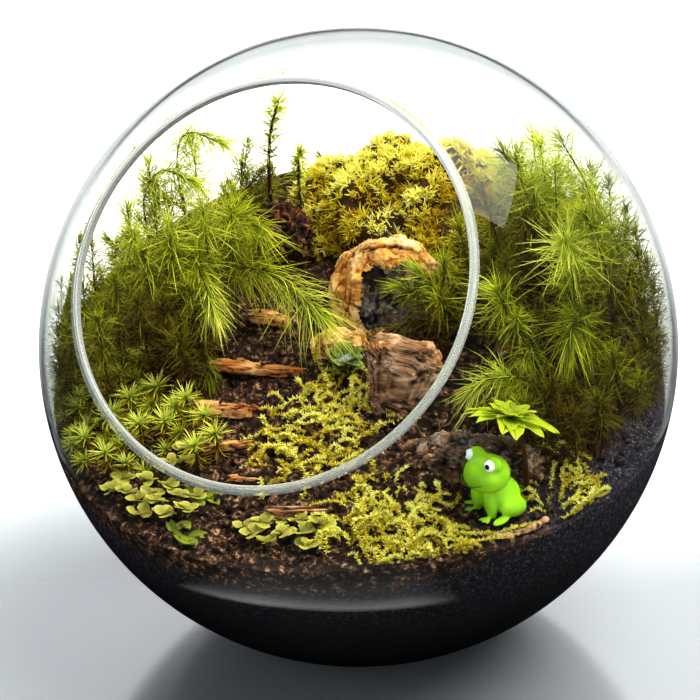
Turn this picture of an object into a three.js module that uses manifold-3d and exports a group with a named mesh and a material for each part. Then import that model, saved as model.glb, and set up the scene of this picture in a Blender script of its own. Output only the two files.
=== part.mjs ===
// A planted glass globe: a blown bowl with a slanted mouth, a bed of soil, bark, mosses and a small frog.
// Millimetres, +Z up. The globe stands on z = 0 with its centre over the origin and its mouth towards -Y.
import * as THREE from "three";
import { mergeVertices } from "three/addons/utils/BufferGeometryUtils.js";
import Module from "manifold-3d";

const wasm = await Module();
wasm.setup();

// Driving dimensions
const bowlRadius = 90;
const wallThickness = 2.8;
const centreHeight = 85; // the globe is flattened where it stands, so its centre is lower than its radius
const floorThickness = 3.6;
const mouthRadius = 55.9;
const mouthTilt = THREE.MathUtils.degToRad(37.4); // the mouth's axis above the horizontal
const rimRadius = 1.75; // fire-polished bead round the mouth
const bowlSegments = 42;
const bowlSteps = 20; // rings from the closed pole to the mouth
const gap = 0.35; // clearance between neighbouring pieces

// The planted surface: it climbs from the front glass to the back, and lies lower on the right-hand shelf
const soilFrontY = -84;
const soilFrontHeight = 57;
const soilClimb = 0.325;
const shelfDrop = 0.226;
const bankHeight = 11;
const soilCells = 28;

// Noise sizes
const lumpWave = 5.5; // distance over which a lumpy surface rises and falls
const innerRadius = bowlRadius - wallThickness;
const centre = new THREE.Vector3(0, 0, centreHeight);

const terrarium = new THREE.Group();
const placed = []; // what is already in the bowl, each as a function of its clearance

// Helpers: smooth steps, wobble, and the way between geometries and solids

function smoothStep(from, to, value) {
  return THREE.MathUtils.smoothstep(value, from, to);
}

function ground(x, y) {
  const run = y - soilFrontY;
  const shelf = shelfDrop * run * smoothStep(20, 70, x);
  const bank = bankHeight * smoothStep(-38, -18, y) * smoothStep(26, 48, x) * (1 - smoothStep(66, 84, x));
  return soilFrontHeight + soilClimb * run - shelf + bank;
}

function wobble(point, seed, wave) {
  const { x, y, z } = point;
  return (
    Math.sin(x / wave + seed) * Math.cos(y / wave - 1.7 * seed) +
    0.6 * Math.sin((1.9 * z) / wave + 2.3 * seed) * Math.cos((1.6 * x) / wave + seed)
  );
}

function solidOf(geometry) {
  const bare = geometry.clone();
  bare.deleteAttribute("normal");
  bare.deleteAttribute("uv");
  const merged = mergeVertices(bare, 1e-4);
  return new wasm.Manifold(
    new wasm.Mesh({
      numProp: 3,
      vertProperties: new Float32Array(merged.attributes.position.array),
      triVerts: new Uint32Array(merged.index.array),
    })
  );
}

function geometryOf(solid) {
  const mesh = solid.getMesh();
  const geometry = new THREE.BufferGeometry();
  geometry.setAttribute("position", new THREE.BufferAttribute(new Float32Array(mesh.vertProperties), 3));
  geometry.setIndex(new THREE.BufferAttribute(new Uint32Array(mesh.triVerts), 1));
  geometry.computeVertexNormals();
  return geometry;
}

function moveVertices(geometry, move) {
  const position = geometry.attributes.position;
  const point = new THREE.Vector3();
  for (let i = 0; i < position.count; i++) {
    point.fromBufferAttribute(position, i);
    move(point, i);
    position.setXYZ(i, point.x, point.y, point.z);
  }
  return geometry;
}

function largestBody(solid) {
  return solid.decompose().reduce((best, body) => (body.volume() > best.volume() ? body : best));
}

function finish(color, roughness, metalness = 0) {
  return new THREE.MeshStandardMaterial({ color, roughness, metalness });
}

const glass = finish("#dfe8e6", 0.05);
const soil = finish("#2a1e19", 0.95);
const peat = finish("#3a2a26", 0.95);
const bark = finish("#a5754a", 0.85);
const tailMoss = finish("#7d9c26", 0.6);
const starMoss = finish("#8fc12f", 0.6);
const featherMoss = finish("#c9c31e", 0.65);
const cushionMoss = finish("#8a8f1c", 0.8);
const roundLeaf = finish("#a9bb5a", 0.55);
const ceramic = finish("#6fc21c", 0.2);

function addMesh(name, solid, material) {
  const mesh = new THREE.Mesh(geometryOf(solid), material);
  mesh.name = name;
  terrarium.add(mesh);
}

// Seats a piece in the bowl: it is trimmed by the glass, the ground and every piece already there
function plant(name, build, material) {
  let solid = build(0).intersect(cavity(gap));
  for (const other of placed) solid = solid.subtract(other(gap));
  addMesh(name, largestBody(solid), material);
  placed.push(build);
}

// The glass

function globe(radius) {
  const profile = [];
  const steps = bowlSteps + 6;
  for (let i = 0; i <= steps; i++) {
    const angle = (Math.PI * i) / steps;
    profile.push(new THREE.Vector2(i % steps === 0 ? 0 : radius * Math.sin(angle), -radius * Math.cos(angle)));
  }
  return tilted(new THREE.LatheGeometry(profile, bowlSegments));
}

// Turns a lathed form from its own upright axis to the mouth's axis and lifts it to the globe's centre
function tilted(geometry) {
  return geometry.rotateX(Math.PI - mouthTilt).translate(centre.x, centre.y, centre.z);
}

function slab(bottom, top) {
  const side = 3 * bowlRadius;
  return solidOf(new THREE.BoxGeometry(side, side, top - bottom).translate(0, 0, (top + bottom) / 2));
}

function cavity(clearance) {
  return solidOf(globe(innerRadius - clearance)).intersect(
    slab(floorThickness + clearance, 3 * bowlRadius)
  );
}

function bowl() {
  const profile = [];
  const midRadius = bowlRadius - wallThickness / 2;
  const mouthAngle = Math.PI - Math.asin(mouthRadius / midRadius); // measured from the closed pole
  const lipAngle = mouthAngle - rimRadius / midRadius;
  const arcPoint = (radius, angle) =>
    new THREE.Vector2(angle === 0 ? 0 : radius * Math.sin(angle), -radius * Math.cos(angle));
  for (let i = 0; i <= bowlSteps; i++) {
    profile.push(arcPoint(bowlRadius, (lipAngle * i) / bowlSteps));
  }
  const bead = arcPoint(midRadius, mouthAngle);
  for (let i = 0; i <= 5; i++) {
    const turn = mouthAngle - Math.PI / 2 + (Math.PI * i) / 5;
    profile.push(new THREE.Vector2(bead.x + rimRadius * Math.cos(turn), bead.y + rimRadius * Math.sin(turn)));
  }
  for (let i = bowlSteps; i >= 0; i--) {
    profile.push(arcPoint(innerRadius, (lipAngle * i) / bowlSteps));
  }
  const shell = solidOf(tilted(new THREE.LatheGeometry(profile, bowlSegments)));
  const floor = solidOf(globe(innerRadius + wallThickness / 2)).intersect(slab(0, floorThickness));
  return shell.add(floor).intersect(slab(0, 3 * bowlRadius));
}

addMesh("glass_bowl", bowl(), glass);

// The soil

function soilBlock(clearance) {
  const side = 2 * bowlRadius + 10;
  const depth = 40;
  const block = new THREE.BoxGeometry(side, side, depth, soilCells, soilCells, 1).translate(0, 0, depth / 2);
  moveVertices(block, (point) => {
    point.z = point.z > depth / 2 ? ground(point.x, point.y) + clearance : -depth;
  });
  return solidOf(block);
}

plant("soil_bed", soilBlock, soil);

// Forms that the plants and the bark are made from

// A low cushion lying on the ground, with its outline and its top made uneven
function cushion({ at, size, height, lumps = 0.25, seed = 1, detail = 3 }) {
  return (clearance) => {
    const form = new THREE.IcosahedronGeometry(1, detail);
    moveVertices(form, (point) => {
      const edge = 1 + lumps * wobble(point, seed, 0.45);
      const x = at[0] + (size[0] * edge + clearance) * point.x;
      const y = at[1] + (size[1] * edge + clearance) * point.y;
      const rise = Math.max(point.z, 0) * height * (1 + lumps * wobble({ x, y, z: 0 }, seed, lumpWave));
      point.set(x, y, ground(x, y) + (point.z > 0 ? rise + clearance : point.z));
    });
    return solidOf(form);
  };
}

// A broken lump of bark, wood or peat, turned and set into the ground
function lump({ at, size, turn = [0, 0, 0], rough = 0.12, seed = 1, detail = 2 }) {
  return (clearance) => {
    const form = new THREE.IcosahedronGeometry(1, detail);
    moveVertices(form, (point) => {
      const scale = 1 + rough * wobble(point, seed, 0.6);
      point.set(
        point.x * (size[0] * scale + clearance),
        point.y * (size[1] * scale + clearance),
        point.z * (size[2] * scale + clearance)
      );
    });
    return solidOf(placeForm(form, at, turn));
  };
}

// A split flake of bark: a thin board with a wandering outline
function flake({ at, length, width, thickness, turn = [0, 0, 0], seed = 1 }) {
  return (clearance) => {
    const form = new THREE.BoxGeometry(
      length + 2 * clearance,
      width + 2 * clearance,
      thickness + 2 * clearance,
      6,
      2,
      1
    );
    moveVertices(form, (point) => {
      const along = point.x / length;
      const taper = 1 - 0.9 * along * along;
      const wander = 0.12 * width * Math.sin(7 * along + seed);
      point.y = point.y * taper + wander;
      point.z += 0.25 * thickness * Math.sin(9 * along + 2 * seed);
    });
    return solidOf(placeForm(form, at, turn));
  };
}

function placeForm(form, at, turn) {
  const pose = new THREE.Object3D();
  pose.position.set(at[0], at[1], at[2]);
  pose.rotation.set(...turn.map(THREE.MathUtils.degToRad));
  pose.updateMatrix();
  return form.applyMatrix4(pose.matrix);
}

// A shoot of moss: a slim spindle bent along its stem, from just under the ground to its tip
function shoot({ root, through, radius }) {
  const rings = 8;
  const fullness = [0, 0.5, 0.75, 0.9, 1, 1, 0.95, 0.75, 0];
  return (clearance) => {
    const foot = new THREE.Vector3(root[0], root[1], ground(root[0], root[1]) - 2);
    const stem = new THREE.CatmullRomCurve3([foot, ...through.map((p) => new THREE.Vector3(...p))]);
    const frames = stem.computeFrenetFrames(rings);
    const profile = fullness.map((full, i) => new THREE.Vector2(full && full * radius + clearance, i));
    const form = new THREE.LatheGeometry(profile, 6);
    moveVertices(form, (point) => {
      const ring = Math.round(point.y);
      const middle = stem.getPointAt(ring / rings);
      if (ring === rings) middle.addScaledVector(frames.tangents[ring], clearance);
      point.set(
        middle.x + frames.normals[ring].x * point.x + frames.binormals[ring].x * point.z,
        middle.y + frames.normals[ring].y * point.x + frames.binormals[ring].y * point.z,
        middle.z + frames.normals[ring].z * point.x + frames.binormals[ring].z * point.z
      );
    });
    const made = solidOf(form);
    return made.volume() < 0 ? solidOf(flipped(form)) : made;
  };
}

function flipped(geometry) {
  const index = geometry.index.array;
  for (let i = 0; i < index.length; i += 3) [index[i + 1], index[i + 2]] = [index[i + 2], index[i + 1]];
  return geometry;
}

// A thin root or twig: a round rod swept along points that lie on the ground
function rod({ over, radius, lift }) {
  return (clearance) => {
    const path = new THREE.CatmullRomCurve3(
      over.map(([x, y]) => new THREE.Vector3(x, y, ground(x, y) + lift + radius))
    );
    const section = new THREE.Shape().absarc(0, 0, radius + clearance, 0, 2 * Math.PI);
    return solidOf(
      new THREE.ExtrudeGeometry(section, { steps: 10, curveSegments: 3, extrudePath: path, bevelEnabled: false })
    );
  };
}

// Bark and wood

function barkArch(clearance) {
  const wood = lump({ at: [4, 14, 97], size: [15.5, 8, 18], turn: [-12, 12, 15], rough: 0.08, seed: 3, detail: 3 });
  const hollow = lump({ at: [12, 5, 94], size: [8.5, 7, 11], turn: [-12, 12, 15], rough: 0.06, seed: 5 });
  return wood(clearance).subtract(hollow(-clearance));
}

plant("bark_arch", barkArch, bark);
plant(
  "bark_chunk_right",
  lump({ at: [20, -19, 86], size: [10, 6, 12.5], turn: [-14, 8, 20], rough: 0.1, seed: 8 }),
  bark
);
plant("bark_chunk_mid", lump({ at: [-5, -2, 86], size: [8, 4.5, 4.5], turn: [0, 10, 25], seed: 11 }), bark);
plant("peat_block_right", lump({ at: [47, -30, 69], size: [22, 6.5, 9.5], turn: [0, 6, 12], seed: 14 }), peat);

const steps = [
  { at: [-30, 6, 87.2], length: 12, width: 7, thickness: 3.4, turn: [-6, 4, 20], seed: 1 },
  { at: [-25, -14, 81], length: 27, width: 7, thickness: 2.6, turn: [-4, 2, 22], seed: 2 },
  { at: [-27, -31, 75.2], length: 17, width: 7, thickness: 3.6, turn: [-8, 2, 16], seed: 3 },
  { at: [-21, -44, 70.9], length: 15, width: 5, thickness: 2.2, turn: [-6, -8, 34], seed: 4 },
  { at: [-10, -54, 67.3], length: 11, width: 3, thickness: 1.4, turn: [-6, 0, 26], seed: 5 },
];
steps.forEach((step, i) => plant(`bark_step_${i + 1}`, flake(step), bark));
plant(
  "bark_strip_front",
  flake({ at: [9, -63, 65.4], length: 17, width: 5.5, thickness: 2.6, turn: [-8, 2, 22], seed: 6 }),
  bark
);
plant("root_clump", lump({ at: [-38, 33, 99], size: [9, 8, 10], rough: 0.2, seed: 17 }), peat);

// Mosses that cover the ground

plant(
  "back_moss_mound",
  cushion({ at: [-2, 52], size: [40, 25], height: 23, lumps: 0.09, seed: 2, detail: 5 }),
  cushionMoss
);

// The frog sits on the shelf and looks over its shoulder towards the front glass
const frogAt = [57, -43];
const frogHeading = 236; // degrees round from +X

function frog(clearance) {
  const parts = [
    { at: [-1.5, 0, 5.2], size: [6.2, 5.6, 5.4], turn: [0, -24, 0] },
    { at: [2.2, 0, 12.4], size: [6.4, 6.6, 5.2], turn: [0, 6, 0] },
    { at: [2.8, 3.9, 16.6], size: [2.3, 2.3, 2.3] },
    { at: [2.8, -3.9, 16.6], size: [2.3, 2.3, 2.3] },
    { at: [-2.6, 4.9, 3], size: [5, 2.6, 3.1], turn: [0, -20, 14] },
    { at: [-2.6, -4.9, 3], size: [5, 2.6, 3.1], turn: [0, -20, -14] },
    { at: [3.4, 2.9, 4.6], size: [1.7, 1.7, 4.8], turn: [6, 12, 0] },
    { at: [3.4, -2.9, 4.6], size: [1.7, 1.7, 4.8], turn: [-6, 12, 0] },
    { at: [5, 3.6, 0.9], size: [2.6, 1.9, 0.9] },
    { at: [5, -3.6, 0.9], size: [2.6, 1.9, 0.9] },
    { at: [2.4, 6.6, 0.9], size: [3.6, 1.9, 0.9], turn: [0, 0, 18] },
    { at: [2.4, -6.6, 0.9], size: [3.6, 1.9, 0.9], turn: [0, 0, -18] },
  ];
  const whole = parts
    .map((part) => lump({ ...part, rough: 0, detail: 1 })(clearance))
    .reduce((sum, part) => sum.add(part));
  const seat = ground(frogAt[0], frogAt[1]) + 0.6;
  return solidOf(placeForm(geometryOf(whole), [frogAt[0], frogAt[1], seat], [0, 0, frogHeading]));
}

plant("frog_figurine", frog, ceramic);

// Umbrella moss: one whorl of pointed leaves on an upright stem, behind the frog
const umbrella = { root: [63, -33], top: [59, -35.5, 88], reach: 13.5, leaves: 11 };

function umbrellaMoss(clearance) {
  const outline = new THREE.Shape();
  for (let i = 0; i < 2 * umbrella.leaves; i++) {
    const angle = (Math.PI * i) / umbrella.leaves;
    const radius = (i % 2 ? 0.42 : 1) * umbrella.reach + clearance;
    outline[i ? "lineTo" : "moveTo"](radius * Math.cos(angle), radius * Math.sin(angle));
  }
  const thickness = 1.2 + 2 * clearance;
  const whorl = new THREE.ExtrudeGeometry(outline, { depth: thickness, bevelEnabled: false });
  whorl.translate(0, 0, -thickness / 2);
  const stem = shoot({ root: umbrella.root, through: [[62, -34, 80], umbrella.top], radius: 1.2 });
  return solidOf(placeForm(whorl, umbrella.top, [-14, 8, 0])).add(stem(clearance));
}

plant("umbrella_moss", umbrellaMoss, starMoss);

// Tail mosses: tall leafy shoots, each named by the side of the bowl it grows on
const shoots = {
  tail_moss_left: [
    { root: [-54, 6], through: [[-54, 3, 106], [-54, -1, 132], [-50, -3, 142], [-38, -5, 143]], radius: 3.6 },
    { root: [-64, -6], through: [[-58, -9, 108], [-59, -11, 124], [-54, -13, 133], [-43, -16, 135]], radius: 3.4 },
    { root: [-66, -12], through: [[-62, -15, 104], [-57, -23, 121]], radius: 3.8 },
    { root: [-70, -16], through: [[-69, -16, 98], [-67, -15, 114]], radius: 4.2 },
    { root: [-50, -15], through: [[-50, -16, 97], [-51, -16, 110]], radius: 4.2 },
    { root: [-54, -4], through: [[-47, -10, 110], [-40, -17, 109], [-34, -22, 100]], radius: 3.2 },
    { root: [-46, 9], through: [[-40, 9, 98], [-26, 6, 100], [-18, 2, 97], [-10, -2, 92]], radius: 2.6 },
    { root: [-52, 17], through: [[-44, 16, 106], [-32, 13, 108], [-22, 10, 103]], radius: 3 },
    { root: [-48, 25], through: [[-46, 22, 104], [-46, 19, 120]], radius: 3.4 },
    { root: [-72, -34], through: [[-74, -31, 84], [-73, -26, 98]], radius: 3.4 },
    { root: [-44, -16], through: [[-40, -21, 91], [-35, -25, 82]], radius: 2.6 },
    { root: [-66, 12], through: [[-68, 12, 104], [-67, 10, 120]], radius: 4 },
  ],
  tail_moss_right: [
    { root: [58, 14], through: [[61, 10, 112], [62, -1, 126]], radius: 4.2 },
    { root: [60, 32], through: [[61, 30, 110], [59, 27, 130], [52, 24, 145]], radius: 4 },
    { root: [44, 28], through: [[44, 26, 118], [40, 24, 132], [36, 22, 140]], radius: 4 },
    { root: [71, 10], through: [[72, 10, 104], [69, 7, 122], [66, 4, 132]], radius: 3.8 },
    { root: [72, 28], through: [[72, 26, 100], [68, 22, 120]], radius: 3.8 },
    { root: [68, -2], through: [[69, -3, 100], [68, -9, 106], [68, -14, 101]], radius: 3.2 },
    { root: [53, -2], through: [[54, -4, 93], [54, -11, 94]], radius: 3.2 },
    { root: [64, -16], through: [[60, -20, 91], [50, -24, 93], [44, -26, 90]], radius: 2.8 },
    { root: [65, -22], through: [[66, -23, 86], [67, -24, 94]], radius: 2.4 },
    { root: [73, -22], through: [[73, -24, 80], [73, -25, 87]], radius: 2.2 },
    { root: [76, -12], through: [[77, -14, 80], [77, -17, 88]], radius: 2.8 },
    { root: [46, 2], through: [[46, 0, 98], [42, -4, 110]], radius: 3.4 },
    { root: [30, 8], through: [[24, 8, 98], [15, 9, 107]], radius: 2.8 },
    { root: [27, 1], through: [[21, 0, 96], [11, -4, 93]], radius: 2 },
    { root: [33, 24], through: [[32, 22, 112], [28, 20, 128]], radius: 3.8 },
    { root: [76, 2], through: [[78, -2, 80], [77, -4, 96]], radius: 3.4 },
  ],
  tail_moss_back: [
    { root: [54, 46], through: [[54, 46, 104], [48, 44, 126]], radius: 4 },
    { root: [-54, 42], through: [[-55, 42, 108], [-52, 38, 122]], radius: 3.8 },
  ],
  tall_sprig: [
    { root: [-43, 38], through: [[-44, 39, 118], [-43, 39, 130], [-40, 39, 141]], radius: 1.8 },
    { root: [-34, 40], through: [[-35, 40, 116], [-34, 40, 126]], radius: 1.3 },
  ],
};
for (const [kind, list] of Object.entries(shoots)) {
  list.forEach((one, i) => plant(`${kind}_${String(i + 1).padStart(2, "0")}`, shoot(one), tailMoss));
}

// Low carpets at the front
const carpets = {
  star_moss_left: { at: [-64, -40], size: [15, 22], height: 9, material: starMoss },
  star_moss_path: { at: [-42, -46], size: [10, 13], height: 8, material: starMoss },
  feather_moss_centre: { at: [3, -33], size: [15, 20], height: 4, material: featherMoss },
  feather_moss_front: { at: [36, -62], size: [22, 13], height: 3.6, material: featherMoss },
  feather_moss_right: { at: [73, -30], size: [9, 8], height: 3.4, material: featherMoss },
  round_leaf_left: { at: [-33, -66], size: [13, 8], height: 5, material: roundLeaf },
  round_leaf_front: { at: [8, -71], size: [14, 5], height: 5, material: roundLeaf },
  round_leaf_path: { at: [-30, -53], size: [4.5, 4], height: 4, material: roundLeaf },
  dark_leaf_cluster: { at: [0, -9.5], size: [7, 5], height: 7, material: roundLeaf },
  liverwort_front: { at: [-17, -77], size: [7, 2], height: 1.6, material: roundLeaf },
  liverwort_path: { at: [-20, -62], size: [7, 2.4], height: 1.6, material: roundLeaf },
};
Object.entries(carpets).forEach(([name, { material, ...form }], i) =>
  plant(name, cushion({ ...form, lumps: 0.12, seed: 4 + i, detail: 2 }), material)
);

plant(
  "fallen_twig",
  rod({ over: [[71, -41], [69, -46], [65, -51], [61, -54]], radius: 0.8, lift: 0.7 }),
  bark
);

export default terrarium;
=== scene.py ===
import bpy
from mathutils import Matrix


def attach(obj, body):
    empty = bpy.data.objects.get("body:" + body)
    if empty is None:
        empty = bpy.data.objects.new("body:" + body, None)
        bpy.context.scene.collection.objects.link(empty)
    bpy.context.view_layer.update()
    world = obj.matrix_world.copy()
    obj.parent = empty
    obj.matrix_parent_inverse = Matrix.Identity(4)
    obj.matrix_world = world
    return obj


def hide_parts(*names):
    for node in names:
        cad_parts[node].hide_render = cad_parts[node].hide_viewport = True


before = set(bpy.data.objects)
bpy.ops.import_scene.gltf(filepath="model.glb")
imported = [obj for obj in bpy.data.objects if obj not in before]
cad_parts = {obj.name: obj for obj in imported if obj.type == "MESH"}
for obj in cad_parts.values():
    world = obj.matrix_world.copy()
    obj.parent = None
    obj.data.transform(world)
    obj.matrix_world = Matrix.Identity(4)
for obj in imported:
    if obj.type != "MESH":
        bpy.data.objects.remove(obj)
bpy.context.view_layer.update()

import math

import bmesh
import bpy
import numpy as np
from mathutils import Matrix, Vector

# A planted glass globe. Lengths are in millimetres until a mesh is made, and every mesh is in metres.
mm = 0.001

globe = {
    "radius": 90.0,
    "wall": 2.8,
    "centre": (0.0, 0.0, 85.0),
    "floor": 3.6,
    "mouthRadius": 55.9,
    "mouthTilt": 37.4,  # degrees of the mouth's axis above the horizontal
    "rim": 1.15,
}
innerRadius = globe["radius"] - globe["wall"]
globeCentre = np.array(globe["centre"])

land = {
    "frontY": -84.0,
    "frontHeight": 57.0,
    "climb": 0.325,
    "shelfDrop": 0.226,
    "bank": 11.0,
}

rng = np.random.default_rng(18)  # every scattered thing draws from here, so each run is the same
goldenAngle = 2.39996  # radians between one leaf and the next up a stem
scatterPrimes = (73856093, 19349663, 83492791)  # for the noise
carpetTries = 4000  # places drawn for the plants of one carpet


# Small sums

def smooth(low, high, value):
    t = np.clip((value - low) / (high - low), 0, 1)
    return t * t * (3 - 2 * t)


def groundHeight(x, y):
    run = y - land["frontY"]
    shelf = land["shelfDrop"] * run * smooth(20, 70, x)
    bank = land["bank"] * smooth(-38, -18, y) * smooth(26, 48, x) * (1 - smooth(66, 84, x))
    return land["frontHeight"] + land["climb"] * run - shelf + bank


def unit(vectors):
    return vectors / np.maximum(np.linalg.norm(vectors, axis=-1, keepdims=True), 1e-9)


def cornerValue(cell, seed):  # a repeatable number from 0 to 1 for each corner of a grid
    x, y, z = (cell[..., i] * prime for i, prime in enumerate(scatterPrimes))
    mixed = x ^ y ^ z ^ (seed * 2654435)
    mixed = (mixed ^ (mixed >> 13)) * 1274126177
    return ((mixed ^ (mixed >> 16)) & 65535) / 65535


def lumpy(points, size, seed=1):  # smooth noise from -1 to 1, one lump about size across
    place = np.asarray(points) / size + 31.7 * seed
    cell = np.floor(place).astype(np.int64)
    part = place - cell
    part = part * part * (3 - 2 * part)
    total = 0
    for corner in np.ndindex(2, 2, 2):
        weight = np.prod(np.where(corner, part, 1 - part), axis=-1)
        total = total + weight * cornerValue(cell + np.array(corner), seed)
    return 2 * total - 1


def rough(points, size, octaves=4, seed=1):
    return sum(0.5**i * lumpy(points, size / 2**i, seed + i) for i in range(octaves))


def ridged(points, size, octaves=4, seed=1):  # sharp crests, as broken bark has
    return sum(0.5**i * (1 - 2 * np.abs(lumpy(points, size / 2**i, seed + i))) for i in range(octaves))


def broken(points, size, seed=1):  # plates with cracks: how far each stands out, and 0 in the cracks
    place = np.asarray(points) / size + 17.3 * seed
    cell = np.floor(place).astype(np.int64)
    nearest, second = np.full(len(place), 9.0), np.full(len(place), 9.0)
    height = np.zeros(len(place))
    for corner in np.ndindex(3, 3, 3):
        other = cell + np.array(corner) - 1
        centre = other + np.stack([cornerValue(other, seed + k) for k in range(3)], -1)
        away = place - centre
        distance = np.linalg.norm(away, axis=1)
        lean = np.stack([2 * cornerValue(other, seed + 3 + k) - 1 for k in range(3)], -1)
        here = 0.7 * (2 * cornerValue(other, seed + 6) - 1) + 0.9 * (away * lean).sum(1)
        closer = distance < nearest
        second = np.where(closer, nearest, np.minimum(second, distance))
        height = np.where(closer, here, height)
        nearest = np.where(closer, distance, nearest)
    return height, smooth(0.0, 0.16, second - nearest)


def jitter(*shape):  # bell-shaped scatter about 0
    return rng.normal(size=shape)


def keepInside(points, clearance=0.6):  # leaves that reach the glass lie against it
    away = points - globeCentre
    reach = np.maximum(np.linalg.norm(away, axis=-1, keepdims=True), 1e-6)
    return globeCentre + away * np.minimum(1, (globe["radius"] - bowl["wall"] - clearance) / reach)


def linearColour(hexCode):
    parts = [int(hexCode[i : i + 2], 16) / 255 for i in (1, 3, 5)]
    return [c / 12.92 if c <= 0.04045 else ((c + 0.055) / 1.055) ** 2.4 for c in parts] + [1.0]


def onGround(x, y, lift=0.0):
    x, y = np.asarray(x, float), np.asarray(y, float)
    return np.stack([x, y, groundHeight(x, y) + lift], -1)


# Meshes

leafMap = "OFBake"  # across it a leaf's age, from stem to fresh, which also carries painted shade; up it the way from a leaf's foot to its tip
stemTone = 0.04  # the part of the map that holds stems, old wood and the litter under the leaves


class Heap:  # triangles gathered from many small shapes before they become one mesh
    def __init__(self):
        self.points, self.faces, self.maps, self.kinds, self.count = [], [], [], [], 0

    def add(self, points, faces, maps=None, kind=0):
        points = np.asarray(points, float).reshape(-1, 3)
        faces = np.asarray(faces, int).reshape(-1, 3)
        maps = np.zeros((len(points), 2)) if maps is None else np.asarray(maps, float).reshape(-1, 2)
        self.points.append(points)
        self.faces.append(faces + self.count)
        self.maps.append(maps)
        self.kinds.append(np.broadcast_to(kind, len(faces)).astype(int))
        self.count += len(points)

    def joined(self):
        return [np.concatenate(part) for part in (self.points, self.faces, self.maps, self.kinds)]


def pieceName(node):
    first, *others = node.split("_")
    return first + "".join(word.capitalize() for word in others)


def addPiece(node, heap, materials, mapName=leafMap):
    points, faces, maps, kinds = heap.joined()
    mesh = bpy.data.meshes.new(pieceName(node))
    mesh.vertices.add(len(points))
    mesh.vertices.foreach_set("co", (points * mm).astype(np.float32).ravel())
    mesh.loops.add(faces.size)
    mesh.loops.foreach_set("vertex_index", faces.astype(np.int32).ravel())
    mesh.polygons.add(len(faces))
    mesh.polygons.foreach_set("loop_start", np.arange(0, faces.size, 3, dtype=np.int32))
    for material in materials:
        mesh.materials.append(material)
    mesh.polygons.foreach_set("material_index", kinds.astype(np.int32))
    mesh.update(calc_edges=True)
    mesh.shade_smooth()
    if mapName:
        layer = mesh.uv_layers.new(name=mapName)
        layer.uv.foreach_set("vector", maps[faces.ravel()].astype(np.float32).ravel())
    piece = bpy.data.objects.new(mesh.name, mesh)
    bpy.context.scene.collection.objects.link(piece)
    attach(piece, "root")
    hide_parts(node)
    return piece


def gridFaces(rows, columns, closed=False):  # triangles between rows of points, wrapped round where closed
    row, column = np.indices((rows - 1, columns if closed else columns - 1))
    a, b = row * columns + column, row * columns + (column + 1) % columns
    halves = [np.stack(three, -1).reshape(-1, 3)
              for three in ((a, b, b + columns), (a, b + columns, a + columns))]
    return np.concatenate(halves)


def tubeFaces(rows, columns):  # closed rings, with a point after them all to close each end
    turn = np.arange(columns)
    after, last, point = (turn + 1) % columns, (rows - 1) * columns, np.full(columns, rows * columns)
    ends = [np.stack([point, after, turn], -1), np.stack([point + 1, last + turn, last + after], -1)]
    return np.concatenate([gridFaces(rows, columns, closed=True), *ends])


def turnOut(points, faces):  # a closed surface faces out when its signed volume is positive
    a, b, c = (points[faces[:, i]] for i in range(3))
    return faces if np.einsum("ij,ij->", a, np.cross(b, c)) > 0 else faces[:, ::-1]


def ballShape(finer):
    form = bmesh.new()
    bmesh.ops.create_icosphere(form, subdivisions=finer, radius=1)
    points = np.array([v.co[:] for v in form.verts])
    faces = np.array([[v.index for v in f.verts] for f in form.faces])
    form.free()
    return points, faces


def pointNormals(points, faces):
    a, b, c = (points[faces[:, i]] for i in range(3))
    flat = np.cross(b - a, c - a)
    total = np.zeros_like(points)
    for i in range(3):
        np.add.at(total, faces[:, i], flat)
    return unit(total)


def turnMatrix(turn):
    x, y, z = (math.radians(t) for t in turn)
    return np.array(Matrix.Rotation(x, 3, "X") @ Matrix.Rotation(y, 3, "Y") @ Matrix.Rotation(z, 3, "Z"))


def curveThrough(points, samples):  # a smooth curve through the points, evenly spaced along its length
    points = np.array(points, float)
    padded = np.vstack([2 * points[0] - points[1], points, 2 * points[-1] - points[-2]])
    fine = []
    for i in range(len(points) - 1):
        p0, p1, p2, p3 = padded[i : i + 4]
        t = np.linspace(0, 1, 24, endpoint=i == len(points) - 2)[:, None]
        bow = (2 * p0 - 5 * p1 + 4 * p2 - p3) * t**2 + (3 * p1 - p0 - 3 * p2 + p3) * t**3
        fine.append(0.5 * (2 * p1 + (p2 - p0) * t + bow))
    fine = np.concatenate(fine)
    steps = np.concatenate([[0], np.cumsum(np.linalg.norm(np.diff(fine, axis=0), axis=1))])
    even = np.linspace(0, steps[-1], samples)
    return np.stack([np.interp(even, steps, fine[:, k]) for k in range(3)], -1), steps[-1]


def framesAlong(path):  # a path's direction and two square to it, carried along without a twist
    along = unit(np.gradient(path, axis=0))
    side = np.cross(along[0], (0.31, 0.9, 0.12))
    sides = []
    for direction in along:
        side = side - direction * (side @ direction)
        side = side / np.linalg.norm(side)
        sides.append(side)
    sides = np.array(sides)
    return along, sides, np.cross(along, sides)


def addTube(heap, path, radii, around=6, tone=stemTone, kind=0):
    along, side, other = framesAlong(path)
    angle = np.linspace(0, 2 * math.pi, around, endpoint=False)
    ring = np.cos(angle)[None, :, None] * side[:, None] + np.sin(angle)[None, :, None] * other[:, None]
    radii = np.broadcast_to(radii, len(path))
    points = (path[:, None] + ring * radii[:, None, None]).reshape(-1, 3)
    points = np.vstack([points, path[0] - along[0] * radii[0] / 2, path[-1] + along[-1] * radii[-1] / 2])
    faces = tubeFaces(len(path), around)
    v = np.append(np.repeat(np.linspace(0, 1, len(path)), around), [0, 1])
    u = np.broadcast_to(tone, len(v))
    heap.add(points, turnOut(points, faces), np.stack([u, v], -1), kind)


def aroundStem(turn, side, other):  # directions square to a stem
    return np.cos(turn)[..., None] * side + np.sin(turn)[..., None] * other


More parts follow.
